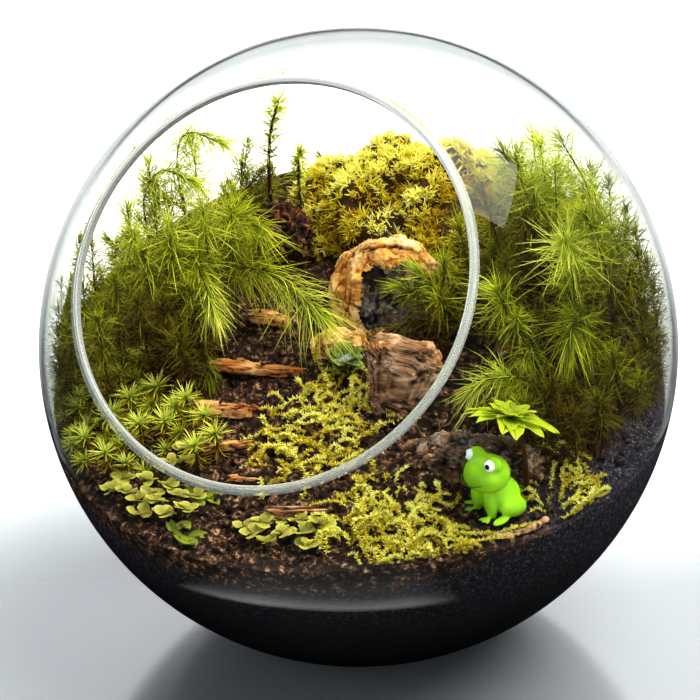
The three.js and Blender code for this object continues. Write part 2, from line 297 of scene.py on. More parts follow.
def leanOut(stemWay, outward, spread):  # directions that lean away from a stem
    return unit(np.cos(spread)[..., None] * stemWay + np.sin(spread)[..., None] * outward)


def acrossLeaf(way, up=0, loose=1):  # across each leaf: its face looks up, or anywhere where it's loose
    return unit(np.cross(way, up + loose * jitter(*way.shape)))


def addLeaves(heap, base, way, bend, length, width, across, tone, rings=4, widest=0.25, foot=0.55, fold=0.0,
              kind=0):
    # Pointed strips: each starts at base and runs along way; bend moves its tip, and fold lowers its midrib.
    count = len(base)
    steps = np.linspace(0, 1, rings + 1)
    shape = np.interp(steps, [0, widest, 0.7, 1], [foot, 1, 0.62, 0])
    length, width, tone = (np.broadcast_to(value, count).astype(float) for value in (length, width, tone))
    run = (length[:, None] * steps)[..., None]
    middle = base[:, None] + way[:, None] * run + bend[:, None] * (steps**2)[None, :, None]
    wide = (width[:, None] * shape)[..., None]
    lanes = [-1, 0, 1] if fold else [-1, 1]
    keel = unit(np.cross(way, across))[:, None] * wide * fold
    rows = [middle + across[:, None] * wide * lane / 2 - (keel if lane == 0 else 0) for lane in lanes]
    body = np.stack([row[:, :-1] for row in rows], 2).reshape(count, -1, 3)
    points = keepInside(np.concatenate([body, middle[:, -1:]], 1))
    lane = len(lanes)
    last = (rings - 1) * lane
    tips = [[last + i, last + i + 1, rings * lane] for i in range(lane - 1)]
    pattern = np.concatenate([gridFaces(rings, lane), tips])
    faces = (pattern[None] + (np.arange(count) * points.shape[1])[:, None, None]).reshape(-1, 3)
    u = tone[:, None] + 0.004 * np.append(np.tile(lanes, rings), 0)[None]
    v = np.broadcast_to(np.append(np.repeat(steps[:-1], lane), 1), u.shape)
    heap.add(points, faces, np.stack([u, v], -1), kind)


# Materials

def addNode(tree, kind, inputs=None, stops=None, **settings):
    # An input is a value, a hex colour, or a node or socket to link. Stops are (place, hex colour) pairs.
    node = tree.nodes.new("ShaderNode" + kind)
    for name, value in settings.items():
        setattr(node, name, value)
    for socket, value in (inputs or {}).items():
        if isinstance(value, bpy.types.Node):
            value = next(output for output in value.outputs if output.enabled)
        if isinstance(value, bpy.types.NodeSocket):
            tree.links.new(value, node.inputs[socket])
        else:
            node.inputs[socket].default_value = linearColour(value) if isinstance(value, str) else value
    for number, (place, colour) in enumerate(stops or []):
        elements = node.color_ramp.elements
        element = elements[number] if number < len(elements) else elements.new(1.0)
        element.position = place
        element.color = linearColour(colour)
    return node


def newMaterial(name):
    material = bpy.data.materials.new(name)
    material.use_nodes = True
    material.node_tree.nodes.clear()
    return material, material.node_tree


def finishMaterial(material, shader):
    addNode(material.node_tree, "OutputMaterial", {"Surface": shader})
    return material


def leafSkin(material, colour, look, gloss, **inputs):  # what a leaf sends back, and what comes through it
    tree = material.node_tree
    surface = addNode(tree, "BsdfPrincipled", {
        "Base Color": colour, "Roughness": look["roughness"], "Specular IOR Level": gloss, **inputs})
    through = addNode(tree, "BsdfTranslucent", {"Color": colour})
    return finishMaterial(material, addNode(tree, "MixShader", {0: look["through"], 1: surface, 2: through}))


def mossLeaf(name, look):
    # Moss leaves are one cell thick: light comes through, so they glow against the light and barely shine.
    material, tree = newMaterial(name)
    place = addNode(tree, "UVMap", uv_map=leafMap)
    split = addNode(tree, "SeparateXYZ", {"Vector": place})
    foot, tip = (addNode(tree, "ValToRGB", {"Fac": split.outputs["X"]}, look[end]) for end in ("foot", "tip"))
    # Painted shade and highlight: the colour runs from the darker foot stops to the pale tip stops, and the
    # power keeps more of each leaf dark
    along = addNode(tree, "Math", {0: split.outputs["Y"], 1: look.get("shaded", 1.0)}, operation="POWER")
    colour = addNode(tree, "Mix", {0: along, 6: foot, 7: tip}, data_type="RGBA")
    return leafSkin(material, colour, look, 0.3)


# Camera

lens = {
    "azimuth": 24.2,  # degrees round from the front, towards +X
    "elevation": 24.0,
    "roll": 2.2,
    "distance": 900.0,
    "length": 163.8,  # on a sensor 36 mm wide
    "aimRight": -2.36,  # where the axis passes beside the globe's centre
    "aimUp": -0.86,
}


def lensAxes():  # across the view, away from the lens on the level, and from the globe back to the lens
    around, up = math.radians(lens["azimuth"]), math.radians(lens["elevation"])
    across = Vector((math.cos(around), math.sin(around), 0))
    ahead = Vector((-math.sin(around), math.cos(around), 0))
    return across, ahead, Vector((0, 0, math.sin(up))) - ahead * math.cos(up)


def makeCamera():
    across, _, back = lensAxes()
    roll = math.radians(lens["roll"])
    rise = back.cross(across)
    right = across * math.cos(roll) - rise * math.sin(roll)
    top = across * math.sin(roll) + rise * math.cos(roll)
    camera = bpy.data.objects.new("camera", bpy.data.cameras.new("camera"))
    camera.data.lens = lens["length"]
    camera.data.sensor_width = 36
    camera.data.clip_start = 0.05
    camera.data.clip_end = 50
    turn = Matrix((right, top, back)).transposed().to_4x4()
    place = Vector(globe["centre"]) + right * lens["aimRight"] + top * lens["aimUp"] + back * lens["distance"]
    camera.matrix_world = Matrix.Translation(place * mm) @ turn
    bpy.context.scene.collection.objects.link(camera)
    bpy.context.scene.camera = camera


# Floor and light

studio = {
    "floorSide": 12000.0,
    "floorColours": ("#a3abb4", "#f6f7f8"),  # near the globe and far from it
    "floorTurns": (110.0, 330.0),  # mm from the globe over which the board turns pale
    "shineFrom": (85.0, 88.0),  # mm from the globe's centre: a painted glowing strip that only the glass sees, standing in for lit floor low in front
    "shineFalls": (88.0, 95.0),  # where that light drops to its weaker level
    "shineTo": (95.0, 130.0),  # and where it ends
    "shineLevels": (3.4, 0.9),
    "shineLeft": (-78.0, -48.0),  # its two soft sides, across the view
    "shineRight": (40.0, 18.0),
    "shineFore": (0.0, -20.0),  # and only in front of the globe
    "floorPolish": 0.72,  # how much of a mirror the board is in front of the globe
    "polishedTo": (90.0, 0.0),  # mm behind the globe's centre over which that polish comes in
    "curtain": (380.0, 800.0),  # and over which it turns into the white paper that hangs behind it
    "worldColour": "#ffffff",
    "worldSeen": 1.1,
    "worldFill": 0.22,  # the soft light that the walls of the room send back
    "worldMirrored": 0.06,  # the glass mirrors a dark ceiling, so it stays clear
    "screenMirrored": 0.85,  # and the pale screen behind it, which draws a light outline
    "screenCone": (0.72, 0.95),  # how far round it reaches, as the cosine of the angle from straight behind
    "screenTop": (0.4, 0.75),
    # The floor as the glass mirrors it: painted shade near the globe, paler behind the globe
    "floorMirrored": ("#0c0d10", "#8c9196"),
    "floorMirroredFrom": (130.0, 230.0),  # mm behind the globe's middle
}

lamps = {  # place, aim and side in mm, power in watts, colour, and whether the glass mirrors it
    "softboxAbove": ((500, 350, 1100), (0, 20, 60), 1100, 66.0, "#fff8ea", False),
    "softboxBehind": ((-550, 900, 600), (0, 0, 90), 800, 16.0, "#fffdf6", False),
    "windowPane": ((560, 330, 1060), (0, 20, 60), 560, 6.5, "#ffffff", True),
    "softboxFront": ((-300, -1000, 620), (0, 0, 70), 700, 4.0, "#f4f8ff", False),
}


def paintedTable():
    # Smooth painted board: pale, with the soft low gloss that gives the globe a faint reflection.
    material, tree = newMaterial("paintedTableBoard")
    place = addNode(tree, "TexCoord").outputs["Object"]
    path = addNode(tree, "LightPath")
    away = addNode(tree, "VectorMath", {0: place}, operation="LENGTH")
    acrossView, beyondGlobe = (
        addNode(tree, "VectorMath", {0: place, 1: axis}, operation="DOT_PRODUCT") for axis in lensAxes()[:2])
    ramps = {}
    for name, value, low, high, curve in (
            ("floorTurns", away, 0, 1, "SMOOTHSTEP"), ("curtain", away, 0, 1, "SMOOTHSTEP"),
            ("polishedTo", beyondGlobe, 0, studio["floorPolish"], "SMOOTHSTEP"),
            ("floorMirroredFrom", away, 0, 1, "LINEAR"), ("shineFalls", away, *studio["shineLevels"],
                                                          "LINEAR"),
            ("shineFrom", away, 0, 1, "LINEAR"), ("shineTo", away, 1, 0, "LINEAR"),
            ("shineLeft", acrossView, 0, 1, "LINEAR"), ("shineRight", acrossView, 0, 1, "LINEAR"),
            ("shineFore", beyondGlobe, 0, 1, "LINEAR")):
        start, end = (edge * mm for edge in studio[name])
        ramps[name] = addNode(tree, "MapRange", {
            "Value": value, "From Min": start, "From Max": end, "To Min": low, "To Max": high,
        }, interpolation_type=curve)
    grain = addNode(tree, "TexNoise", {"Vector": place, "Scale": 0.9 / mm, "Detail": 2.0})
    bump = addNode(tree, "Bump", {"Height": grain, "Strength": 0.12, "Distance": 0.0003})
    far, (near, pale) = ramps["floorTurns"], studio["floorColours"]
    colour = addNode(tree, "Mix", {0: far, 6: near, 7: pale}, data_type="RGBA")
    board = addNode(tree, "BsdfPrincipled", {"Normal": bump, "Base Color": colour, "Roughness": 0.22})
    unpolished = addNode(tree, "Math", {0: 1.0, 1: far}, operation="SUBTRACT")
    polish = addNode(tree, "Math", {0: ramps["polishedTo"], 1: unpolished}, operation="MULTIPLY")
    mirror = addNode(tree, "BsdfAnisotropic", {"Color": "#e6eaee", "Roughness": 0.12})
    board = addNode(tree, "MixShader", {0: polish, 1: board, 2: mirror})
    glow = addNode(tree, "MapRange", {
        "Value": path.outputs["Is Diffuse Ray"], "To Min": 1.0, "To Max": studio["worldFill"]})
    lit = addNode(tree, "Emission", {"Strength": glow})
    surface = addNode(tree, "MixShader", {0: ramps["curtain"], 1: board, 2: lit})
    # What the glass mirrors instead is painted: a floor painted dark as shade, pale behind the globe, and a
    # glowing strip low in front as a painted reflection
    beyond = ramps["floorMirroredFrom"]
    behind = addNode(tree, "Math", {0: beyond, 1: behindGlobe(tree, place)}, operation="MULTIPLY")
    bright = addNode(tree, "Math", {0: behind, 1: mirroredTwice(tree)}, operation="MAXIMUM")
    dark, pale = studio["floorMirrored"]
    shade = addNode(tree, "Mix", {0: bright, 6: dark, 7: pale}, data_type="RGBA")
    mirrored = addNode(tree, "BsdfDiffuse", {"Color": shade})
    # Painted glint: the strip glows for the glass alone, though it is no lamp
    shine = ramps["shineFalls"]
    for side in ("shineFrom", "shineTo", "shineLeft", "shineRight", "shineFore"):
        shine = addNode(tree, "Math", {0: shine, 1: ramps[side]}, operation="MULTIPLY")
    glint = addNode(tree, "Emission", {"Strength": shine})
    mirrored = addNode(tree, "AddShader", {0: mirrored, 1: glint})
    inGlass = addNode(tree, "MapRange", {"Value": path.outputs["Glossy Depth"]})
    return finishMaterial(material, addNode(tree, "MixShader", {0: inGlass, 1: surface, 2: mirrored}))


def behindGlobe(tree, place):  # 1 for places and directions on the far side of the globe, 0 for the rest
    level = addNode(tree, "VectorMath", {0: place, 1: (1, 1, 0)}, operation="MULTIPLY")
    heading = addNode(tree, "VectorMath", {0: level}, operation="NORMALIZE")
    facing = addNode(tree, "VectorMath", {0: heading, 1: lensAxes()[1]}, operation="DOT_PRODUCT")
    start, end = studio["screenCone"]
    return addNode(tree, "MapRange", {"Value": facing, "From Min": start, "From Max": end})


def mirroredTwice(tree):  # 1 for light that bounced about in the edge of the glass, which draws its outline
    path = addNode(tree, "LightPath")
    return addNode(tree, "Math", {0: path.outputs["Glossy Depth"], 1: 1.5}, operation="GREATER_THAN")


def makeStudio():
    half = studio["floorSide"] / 2 * mm
    mesh = bpy.data.meshes.new("floor")
    corners = [(-half, -half, 0), (half, -half, 0), (half, half, 0), (-half, half, 0)]
    mesh.from_pydata(corners, [], [(0, 1, 2, 3)])
    mesh.materials.append(paintedTable())
    floor = bpy.data.objects.new("floor", mesh)
    bpy.context.scene.collection.objects.link(floor)
    world = bpy.data.worlds.new("studio")
    world.use_nodes = True
    bpy.context.scene.world = world
    tree = world.node_tree
    tree.nodes.clear()
    path = addNode(tree, "LightPath")
    direction = addNode(tree, "TexCoord").outputs["Generated"]
    up = addNode(tree, "SeparateXYZ", {"Vector": direction}).outputs["Z"]
    start, end = studio["screenTop"]
    low = addNode(tree, "MapRange", {"Value": up, "From Min": end, "From Max": start})
    behind = addNode(tree, "Math", {0: low, 1: behindGlobe(tree, direction)}, operation="MULTIPLY")
    screen = addNode(tree, "Math", {0: behind, 1: mirroredTwice(tree)}, operation="MAXIMUM")
    mirrored = addNode(tree, "MapRange", {
        "Value": screen, "To Min": studio["worldMirrored"], "To Max": studio["screenMirrored"]})
    seen = addNode(tree, "MapRange", {
        "Value": path.outputs["Glossy Depth"], "To Min": studio["worldSeen"], "To Max": mirrored})
    strength = addNode(tree, "Mix", {0: path.outputs["Is Diffuse Ray"], 2: seen, 3: studio["worldFill"]})
    background = addNode(tree, "Background", {"Color": studio["worldColour"], "Strength": strength})
    addNode(tree, "OutputWorld", {"Surface": background})
    for name, (place, aim, side, power, colour, mirroredInGlass) in lamps.items():
        light = bpy.data.lights.new(name, "AREA")
        light.size = side * mm
        light.energy = power
        light.color = linearColour(colour)[:3]
        holder = bpy.data.objects.new(name, light)
        holder.location = Vector(place) * mm
        holder.rotation_mode = "QUATERNION"
        holder.rotation_quaternion = (Vector(aim) - Vector(place)).to_track_quat("-Z", "Y")
        holder.visible_glossy = mirroredInGlass
        holder.visible_transmission = False  # its light passes the glass as shadow rays, and counts once
        bpy.context.scene.collection.objects.link(holder)
    bpy.context.scene.view_settings.view_transform = "Standard"


makeCamera()
makeStudio()
print("camera, floor and lamps are set")


# The glass

bowl = {
    "around": 160,
    "rings": 64,  # from the closed pole to the mouth
    "beadSteps": 12,
    "footRound": 1.6,  # how gently the ball turns into its flat foot
    "innerRound": 3.0,
    "wall": 1.5,  # thinner than the bead
    "thickening": (0.965, 1.0),  # the share of the way to the mouth over which the wall swells into it
}
clearParts = {  # the blown globe and its rim; shadow tints the light that a shadow lets through
    "blownSodaLimeGlass": {
        "tint": "#f3f8f6", "roughness": 0.0, "ior": 1.28, "clear": 1.0, "shadow": "#f6faf8", "waves": 0.06},
    # The rim lets only part of the light through and sends the rest back off its pale tint: painted sheen
    "firePolishedRim": {
        "tint": "#d4dbd7", "roughness": 0.06, "ior": 1.4, "clear": 0.78, "shadow": "#e6ecea", "waves": 0},
}


def clearGlass(name, look):
    # Blown soda-lime glass has no grain: only reflections, a slow waviness and a grey-green edge. Its rim was
    # melted round in a flame into a bead with a bright line along it; its pale grey is painted sheen,
    # scattered off it like paint.
    material, tree = newMaterial(name)
    surface = addNode(tree, "BsdfPrincipled", {
        "Base Color": look["tint"], "Roughness": look["roughness"], "IOR": look["ior"],
        "Transmission Weight": look["clear"]})
    if look["waves"]:
        place = addNode(tree, "TexCoord").outputs["Object"]
        wave = addNode(tree, "TexNoise", {"Vector": place, "Scale": 0.028 / mm, "Detail": 1.0})
        bump = addNode(tree, "Bump", {"Height": wave, "Strength": look["waves"], "Distance": 0.002})
        tree.links.new(bump.outputs[0], surface.inputs["Normal"])
    inShadow = addNode(tree, "BsdfTransparent", {"Color": look["shadow"]})
    path = addNode(tree, "LightPath")
    both = addNode(tree, "MixShader", {0: path.outputs["Is Shadow Ray"], 1: surface, 2: inShadow})
    return finishMaterial(material, both)


def roundedAbove(height, level, soft):  # heights under level rise to it, with a rounded change
    near = (height - level + soft) ** 2 / (4 * soft) + level
    return np.where(height > level + soft, height, np.where(height < level - soft, level, near))


def makeBowl():
    tilt = math.radians(globe["mouthTilt"])
    axis = np.array([0, -math.cos(tilt), math.sin(tilt)])
    first = np.array([1.0, 0, 0])
    second = np.cross(axis, first)
    middle = globe["radius"] - globe["rim"]
    mouth = math.pi - math.asin(globe["mouthRadius"] / middle)
    lip = mouth - globe["rim"] / middle
    angles = lip * np.arange(1, bowl["rings"] + 1) / bowl["rings"]

    def arc(radius, angle):
        return np.stack([radius * np.sin(angle), -radius * np.cos(angle)], -1)

    turn = mouth - math.pi / 2 + math.pi * np.arange(bowl["beadSteps"] + 1) / bowl["beadSteps"]
    bead = arc(middle, mouth) + globe["rim"] * np.stack([np.cos(turn), np.sin(turn)], -1)
    within = globe["radius"] - bowl["wall"]
    swelling = (bowl["wall"] - 2 * globe["rim"]) * smooth(*bowl["thickening"], angles[::-1] / lip)
    profile = np.concatenate([arc(globe["radius"], angles), bead, arc(within + swelling, angles[::-1])])
    inner = np.arange(len(profile)) > bowl["rings"] + bowl["beadSteps"] / 2
    angle = np.linspace(0, 2 * math.pi, bowl["around"], endpoint=False)
    ring = np.cos(angle)[:, None] * first + np.sin(angle)[:, None] * second
    points = (globeCentre + profile[:, None, :1] * ring[None] + profile[:, None, 1:] * axis).reshape(-1, 3)
    points = np.vstack([points, globeCentre - axis * globe["radius"], globeCentre - axis * within])
    inside = np.append(np.repeat(inner, bowl["around"]), [False, True])
    outerHeight = roundedAbove(points[:, 2], 0, bowl["footRound"])
    innerHeight = roundedAbove(points[:, 2], globe["floor"], bowl["innerRound"])
    points[:, 2] = np.where(inside, innerHeight, outerHeight)
    faces = turnOut(points - globeCentre, tubeFaces(len(profile), bowl["around"]))
    row = faces // bowl["around"]
    onBead = (row >= bowl["rings"] - 1) & (row <= bowl["rings"] + bowl["beadSteps"] + 1)
    heap = Heap()
    heap.add(points, faces, kind=onBead.all(axis=1))
    addPiece("glass_bowl", heap, [clearGlass(*part) for part in clearParts.items()], mapName=None)


makeBowl()
print("the glass is blown")


# Soil

soilBed = {
    "reach": 88.7,  # wet soil is pressed against the glass, with no film of air between them
    "gap": 0.35,  # between the soil and the globe's floor
    "around": 280,  # points round the bed, inward over its top and down its side
    "inward": 80,
    "down": 22,
    "crumbHeight": 1.25,
    "crumbs": 2500,
    "crumbSize": (0.5, 1.7),
    "crumbReach": 84,
}
soilLook = {
    # Crumbs, patches and the grit of the wall's colour: how many to a mm, and how finely and harshly each is
    # broken up
    "noises": ((0.52, 5.0, 0.7), (0.075, 3.0, 0.5), (1.1, 4.0, 0.75)),
    "dark": [(0.36, "#090605"), (0.51, "#1a110c"), (0.57, "#4c3424"), (0.64, "#926e52"), (0.73, "#e0c2a4")],
    "warm": [(0.38, "#0c0706"), (0.52, "#23150e"), (0.61, "#66442e"), (0.72, "#c09870")],
    # The wall colour where the soil is pressed wet on the glass: its dark stops are partly painted shade, its
    # pale purple ones a painted reflection
    "wet": [(0.37, "#0c0a0f"), (0.49, "#1b181f"), (0.56, "#363139"), (0.63, "#665e69"), (0.72, "#aea5b0")],
    # Near black: painted shade towards the bottom of the bed, and the colour of some darker patches
    "packedAndShaded": "#0d0b10",
    "wander": 9.0,
    "wetShadeFrom": (84.0, 78.0),  # mm, measured down the slope's own line
}


def pottingSoil():
    # Damp leaf mould and peat: a crumbly mix of black and red-brown. Under the top it turns nearly black,
    # partly wet soil and partly painted shade, and darker still towards the bottom as painted shade.
    material, tree = newMaterial("dampPottingSoil")
    place = addNode(tree, "TexCoord").outputs["Object"]
    split = addNode(tree, "SeparateXYZ", {"Vector": place})
    crumb, patch, grit = (
        addNode(tree, "TexNoise", {"Vector": place, "Scale": scale / mm, "Detail": detail,
                                   "Roughness": harsh})
        for scale, detail, harsh in soilLook["noises"])
    dark, warm, wet = (
        addNode(tree, "ValToRGB", {"Fac": noise}, soilLook[name])
        for name, noise in (("dark", crumb), ("warm", crumb), ("wet", grit)))
    dry = addNode(tree, "Mix", {0: patch, 6: dark, 7: warm}, data_type="RGBA")
    # Painted shade: darker towards the bottom of the bed
    shadeTowardsBottom = addNode(tree, "MapRange", {"Value": split.outputs["Z"], "From Min": 0.075, "From Max": 0.03})
    shade = addNode(tree, "MapRange", {"Value": patch, "From Min": 0.4, "From Max": 0.62, "To Max": 0.5})
    packedAndShaded = addNode(tree, "Math", {0: shadeTowardsBottom, 1: shade}, operation="MAXIMUM")
    wet = addNode(tree, "Mix", {0: packedAndShaded, 6: wet, 7: soilLook["packedAndShaded"]}, data_type="RGBA")
    # The dark wall colour, wet soil and painted shade together, starts some way under the slanting ground,
    # with a wandering edge
    depth = addNode(tree, "Math", {0: split.outputs["Z"], 1: 1 / mm}, operation="MULTIPLY")
    wander = addNode(tree, "Math", {0: patch, 1: soilLook["wander"], 2: depth}, operation="MULTIPLY_ADD")
    rise = addNode(tree, "Math", {0: split.outputs["Y"], 1: -land["climb"] / mm}, operation="MULTIPLY")
    level = addNode(tree, "Math", {0: wander, 1: rise}, operation="ADD")
    start, end = soilLook["wetShadeFrom"]
    dampAndShaded = addNode(tree, "MapRange", {"Value": level, "From Min": start, "From Max": end})
    colour = addNode(tree, "Mix", {0: dampAndShaded, 6: dry, 7: wet}, data_type="RGBA")
    bump = addNode(tree, "Bump", {"Height": crumb, "Strength": 1.0, "Distance": 0.0009})
    return finishMaterial(material, addNode(tree, "BsdfPrincipled", {
        "Base Color": colour, "Normal": bump, "Roughness": 0.82, "Specular IOR Level": 0.25}))


def soilHeight(x, y):  # the ground, with a small terrace behind each bark step
    height = groundHeight(x, y)
    for at, length, _, _, turn in [flakes[node] for node in flakes if node.startswith("bark_step")]:
        ahead = math.radians(turn[2])
        dx, dy = x - at[0], y - at[1]
        along = dx * math.cos(ahead) + dy * math.sin(ahead)
        across = dy * math.cos(ahead) - dx * math.sin(ahead)
        near = np.exp(-((along / (0.6 * length)) ** 4) - (across / 7.0) ** 2)
        height = height + 1.5 * near * np.tanh((across + 1.5) / 1.2)
    return height


def makeSoil():
    reach, bottom = soilBed["reach"], globe["floor"] + soilBed["gap"]
    turn = np.linspace(0, 2 * math.pi, soilBed["around"], endpoint=False)
    edge = np.full(soilBed["around"], 80.0)
    for _ in range(30):
        drop = groundHeight(edge * np.cos(turn), edge * np.sin(turn)) - globeCentre[2]
        edge = 0.5 * edge + 0.5 * np.sqrt(reach**2 - drop**2)
    inward = np.sqrt(np.linspace(0, 1, soilBed["inward"] + 1))[1:]
    x = inward[:, None] * edge * np.cos(turn)
    y = inward[:, None] * edge * np.sin(turn)
    flat = np.stack([x, y, soilHeight(x, y)], -1)
    tall = soilBed["crumbHeight"] * (rough(flat, 3.1, 4, 3) + 0.6 * ridged(flat, 1.7, 2, 9))
    tall = tall * (1 - 0.7 * smooth(0.97, 1, inward)[:, None])
    top = flat + np.stack([np.zeros_like(tall), np.zeros_like(tall), tall], -1)
    rim = np.arcsin(np.clip((top[-1, :, 2] - globeCentre[2]) / reach, -1, 1))
    low = math.asin((bottom - globeCentre[2]) / reach)
    down = np.linspace(0, 1, soilBed["down"] + 1)[1:, None] ** 1.3
    lift = rim + (low - rim) * down
    side = np.stack([np.cos(lift) * np.cos(turn), np.cos(lift) * np.sin(turn), np.sin(lift)], -1)
    wall = globeCentre + reach * side
    floor = wall[-1] * (1, 1, 0) + (0, 0, bottom)
    base = np.stack([floor * (1 - s) + (0, 0, bottom * s) for s in (0.3, 0.7)])
    points = np.concatenate([top, wall, base]).reshape(-1, 3)
    rows = len(top) + len(wall) + len(base)
    points = np.vstack([points, [0, 0, soilHeight(0.0, 0.0)], [0, 0, bottom]])
    heap = Heap()
    heap.add(points, turnOut(points, tubeFaces(rows, len(turn))))
    addCrumbs(heap)
    addPiece("soil_bed", heap, [pottingSoil()], mapName=None)


def addCrumbs(heap):
    count, (least, most) = soilBed["crumbs"], soilBed["crumbSize"]
    form, faces = ballShape(1)
    turn = rng.random(count) * 2 * math.pi
    away = np.sqrt(rng.random(count)) * soilBed["crumbReach"]
    x, y = away * np.cos(turn), away * np.sin(turn)
    forward = (y < 20) | (rng.random(count) < 0.25)
    x, y = x[forward], y[forward]
    size = least + (most - least) * rng.random(len(x)) ** 3  # mostly small
    centres = np.stack([x, y, soilHeight(x, y) + 0.5 * size], -1)
    inside = np.linalg.norm(centres - globeCentre, axis=1) + size < innerRadius - 0.3
    centres, size = centres[inside], size[inside]
    stretch = 0.6 + 0.8 * rng.random((len(centres), 1, 3))
    bumps = 0.8 + 0.4 * rng.random((len(centres), len(form), 1))
    points = centres[:, None] + form[None] * stretch * bumps * size[:, None, None]
    faces = faces[None] + (np.arange(len(centres)) * len(form))[:, None, None]
    heap.add(points, faces)


# Bark and peat

flakes = {  # middle, length, width, thickness and turn
    "bark_step_1": ((-30, 6, 87.2), 12, 7, 3.4, (-6, 4, 20)),
    "bark_step_2": ((-25, -14, 81), 27, 7, 2.6, (-4, 2, 22)),
    "bark_step_3": ((-27, -31, 75.2), 17, 7, 3.6, (-8, 2, 16)),
    "bark_step_4": ((-21, -44, 70.9), 15, 5, 2.2, (-6, -8, 34)),
    "bark_step_5": ((-10, -54, 67.3), 11, 3, 1.4, (-6, 0, 26)),
    "bark_strip_front": ((9, -63, 65.4), 17, 5.5, 2.6, (-8, 2, 22)),
}
flakePoints = (84, 40)  # along each flake and round it

barkMap = "barkMap"  # across it how charred the wood is, up it how far a spot stands out of the grain, which the colour turns into painted shade in cracks and paler raised spots

# Each lump's plates of bark are turned and stretched by the grain; plate and plateHeight are in mm
lumps = {
    "bark_arch": {
        "at": (4.5, 13.5, 95.6), "size": (15.6, 8, 16.4), "turn": (-12, 12, 15), "rough": 0.08, "seed": 3},
    "hollow": {
        "at": (10.6, 7.2, 98.6), "size": (12.4, 6.2, 14.2), "turn": (-12, 14, 24),
        "back": (-0.28, 0.9, -0.33)},
    "bark_chunk_right": {
        "at": (20.6, -19, 85), "size": (9.8, 5.6, 11.4), "turn": (-14, 8, 20), "rough": 0.07, "seed": 8,
        "square": 0.42, "taper": 0.26, "strata": 1.9, "strataTurn": (-16, 34, 20), "strataDepth": 2.2,
        "grainTurn": (-16, 34, 20), "stretch": (0.45, 0.8, 1.5), "plate": 4.6, "plateHeight": 0.9},
    "bark_chunk_mid": {
        "at": (-5, -2, 86), "size": (8, 4.5, 4.3), "turn": (0, 10, 25), "rough": 0.12, "seed": 11,
        "square": 0.8, "strata": 1.5, "strataTurn": (10, 20, 20), "strataDepth": 2.2,
        "grainTurn": (0, 10, 25), "stretch": (0.6, 1, 1), "plate": 3.2, "plateHeight": 0.8},
    "peat_block_right": {
        "at": (47, -30, 69), "size": (22, 6.5, 9.5), "turn": (0, 6, 12), "rough": 0.12, "seed": 14,
        "grainTurn": (0, 0, 0), "stretch": (1, 1, 1), "plate": 3.4, "plateHeight": 1.3, "fibres": 90},
    "root_clump": {
        "at": (-38, 33, 99), "size": (9, 8, 10), "turn": (0, 0, 0), "rough": 0.2, "seed": 17,
        "grainTurn": (0, 0, 0), "stretch": (1, 1, 0.5), "plate": 3.2, "plateHeight": 1.2, "fibres": 60},
}


def wobble(points, seed, wave):
    x, y, z = (points[..., i] for i in range(3))
    swell = np.sin(x / wave + seed) * np.cos(y / wave - 1.7 * seed)
    return swell + 0.6 * np.sin(1.9 * z / wave + 2.3 * seed) * np.cos(1.6 * x / wave + seed)


def brokenBark(name, look):
    # Weathered pine bark: corky plates, tan where the sun bleached it, orange in patches. Its cracks are
    # darker, partly its own colour and partly painted shade.
    material, tree = newMaterial(name)
    place = addNode(tree, "TexCoord").outputs["Object"]
    split = addNode(tree, "SeparateXYZ", {"Vector": addNode(tree, "UVMap", uv_map=barkMap)})
    turn = [math.radians(a) for a in look["grainTurn"]]
    stretch = addNode(tree, "Mapping", {"Vector": place, "Rotation": turn, "Scale": look["grainStretch"]})
    grain = addNode(tree, "TexNoise", {
        "Vector": stretch, "Scale": look["grainScale"] / mm, "Detail": 6.0, "Roughness": 0.68,
        "Distortion": 0.6})
    patch = addNode(tree, "TexNoise", {"Vector": place, "Scale": 0.11 / mm, "Detail": 4.0, "Roughness": 0.6})
    # Raised spots come out paler and cracks darker: painted shade and light that follow the relief
    tone = addNode(tree, "Math", {0: grain, 1: split.outputs["Y"]}, operation="ADD")
    half = addNode(tree, "Math", {0: tone, 1: 0.5}, operation="MULTIPLY")
    colours = (look["pale"], look["rust"], charColours)
    pale, rust, char = (addNode(tree, "ValToRGB", {"Fac": half}, stops) for stops in colours)
    where = addNode(tree, "MapRange", {"Value": patch, "From Min": 0.42, "From Max": 0.6})
    wood = addNode(tree, "Mix", {0: where, 6: pale, 7: rust}, data_type="RGBA")
    colour = addNode(tree, "Mix", {0: split.outputs["X"], 6: wood, 7: char}, data_type="RGBA")
    bump = addNode(tree, "Bump", {"Height": grain, "Strength": 0.55, "Distance": 0.0005})
    return finishMaterial(material, addNode(tree, "BsdfPrincipled", {
        "Base Color": colour, "Normal": bump, "Roughness": look["roughness"], "Specular IOR Level": 0.3}))


# Charcoal: its palest stops, which fall on raised spots, are a painted sheen
charColours = [(0.3, "#0c0a0a"), (0.44, "#2a2628"), (0.56, "#5c5654"), (0.68, "#a49a8c"), (0.8, "#d8d0c0")]
tanBark = {
    "grainTurn": (0, -20, 15), "grainStretch": (1.0, 1.0, 0.35), "grainScale": 0.42, "roughness": 0.8,
    "pale": [(0.34, "#241408"), (0.43, "#9a6c38"), (0.54, "#dab074"), (0.7, "#fbe4ba")],
    "rust": [(0.34, "#280f04"), (0.43, "#9c5616"), (0.54, "#d2923c"), (0.7, "#f4c87c")],
}
greyBark = {
    "grainTurn": (0, 0, 20), "grainStretch": (0.5, 0.5, 1.6), "grainScale": 0.38, "roughness": 0.82,
    "pale": [(0.35, "#100906"), (0.44, "#46301f"), (0.55, "#8e6c50"), (0.7, "#d0b090")],
    "rust": [(0.35, "#100804"), (0.44, "#4c2b16"), (0.55, "#8c5a32"), (0.7, "#c69364")],
}
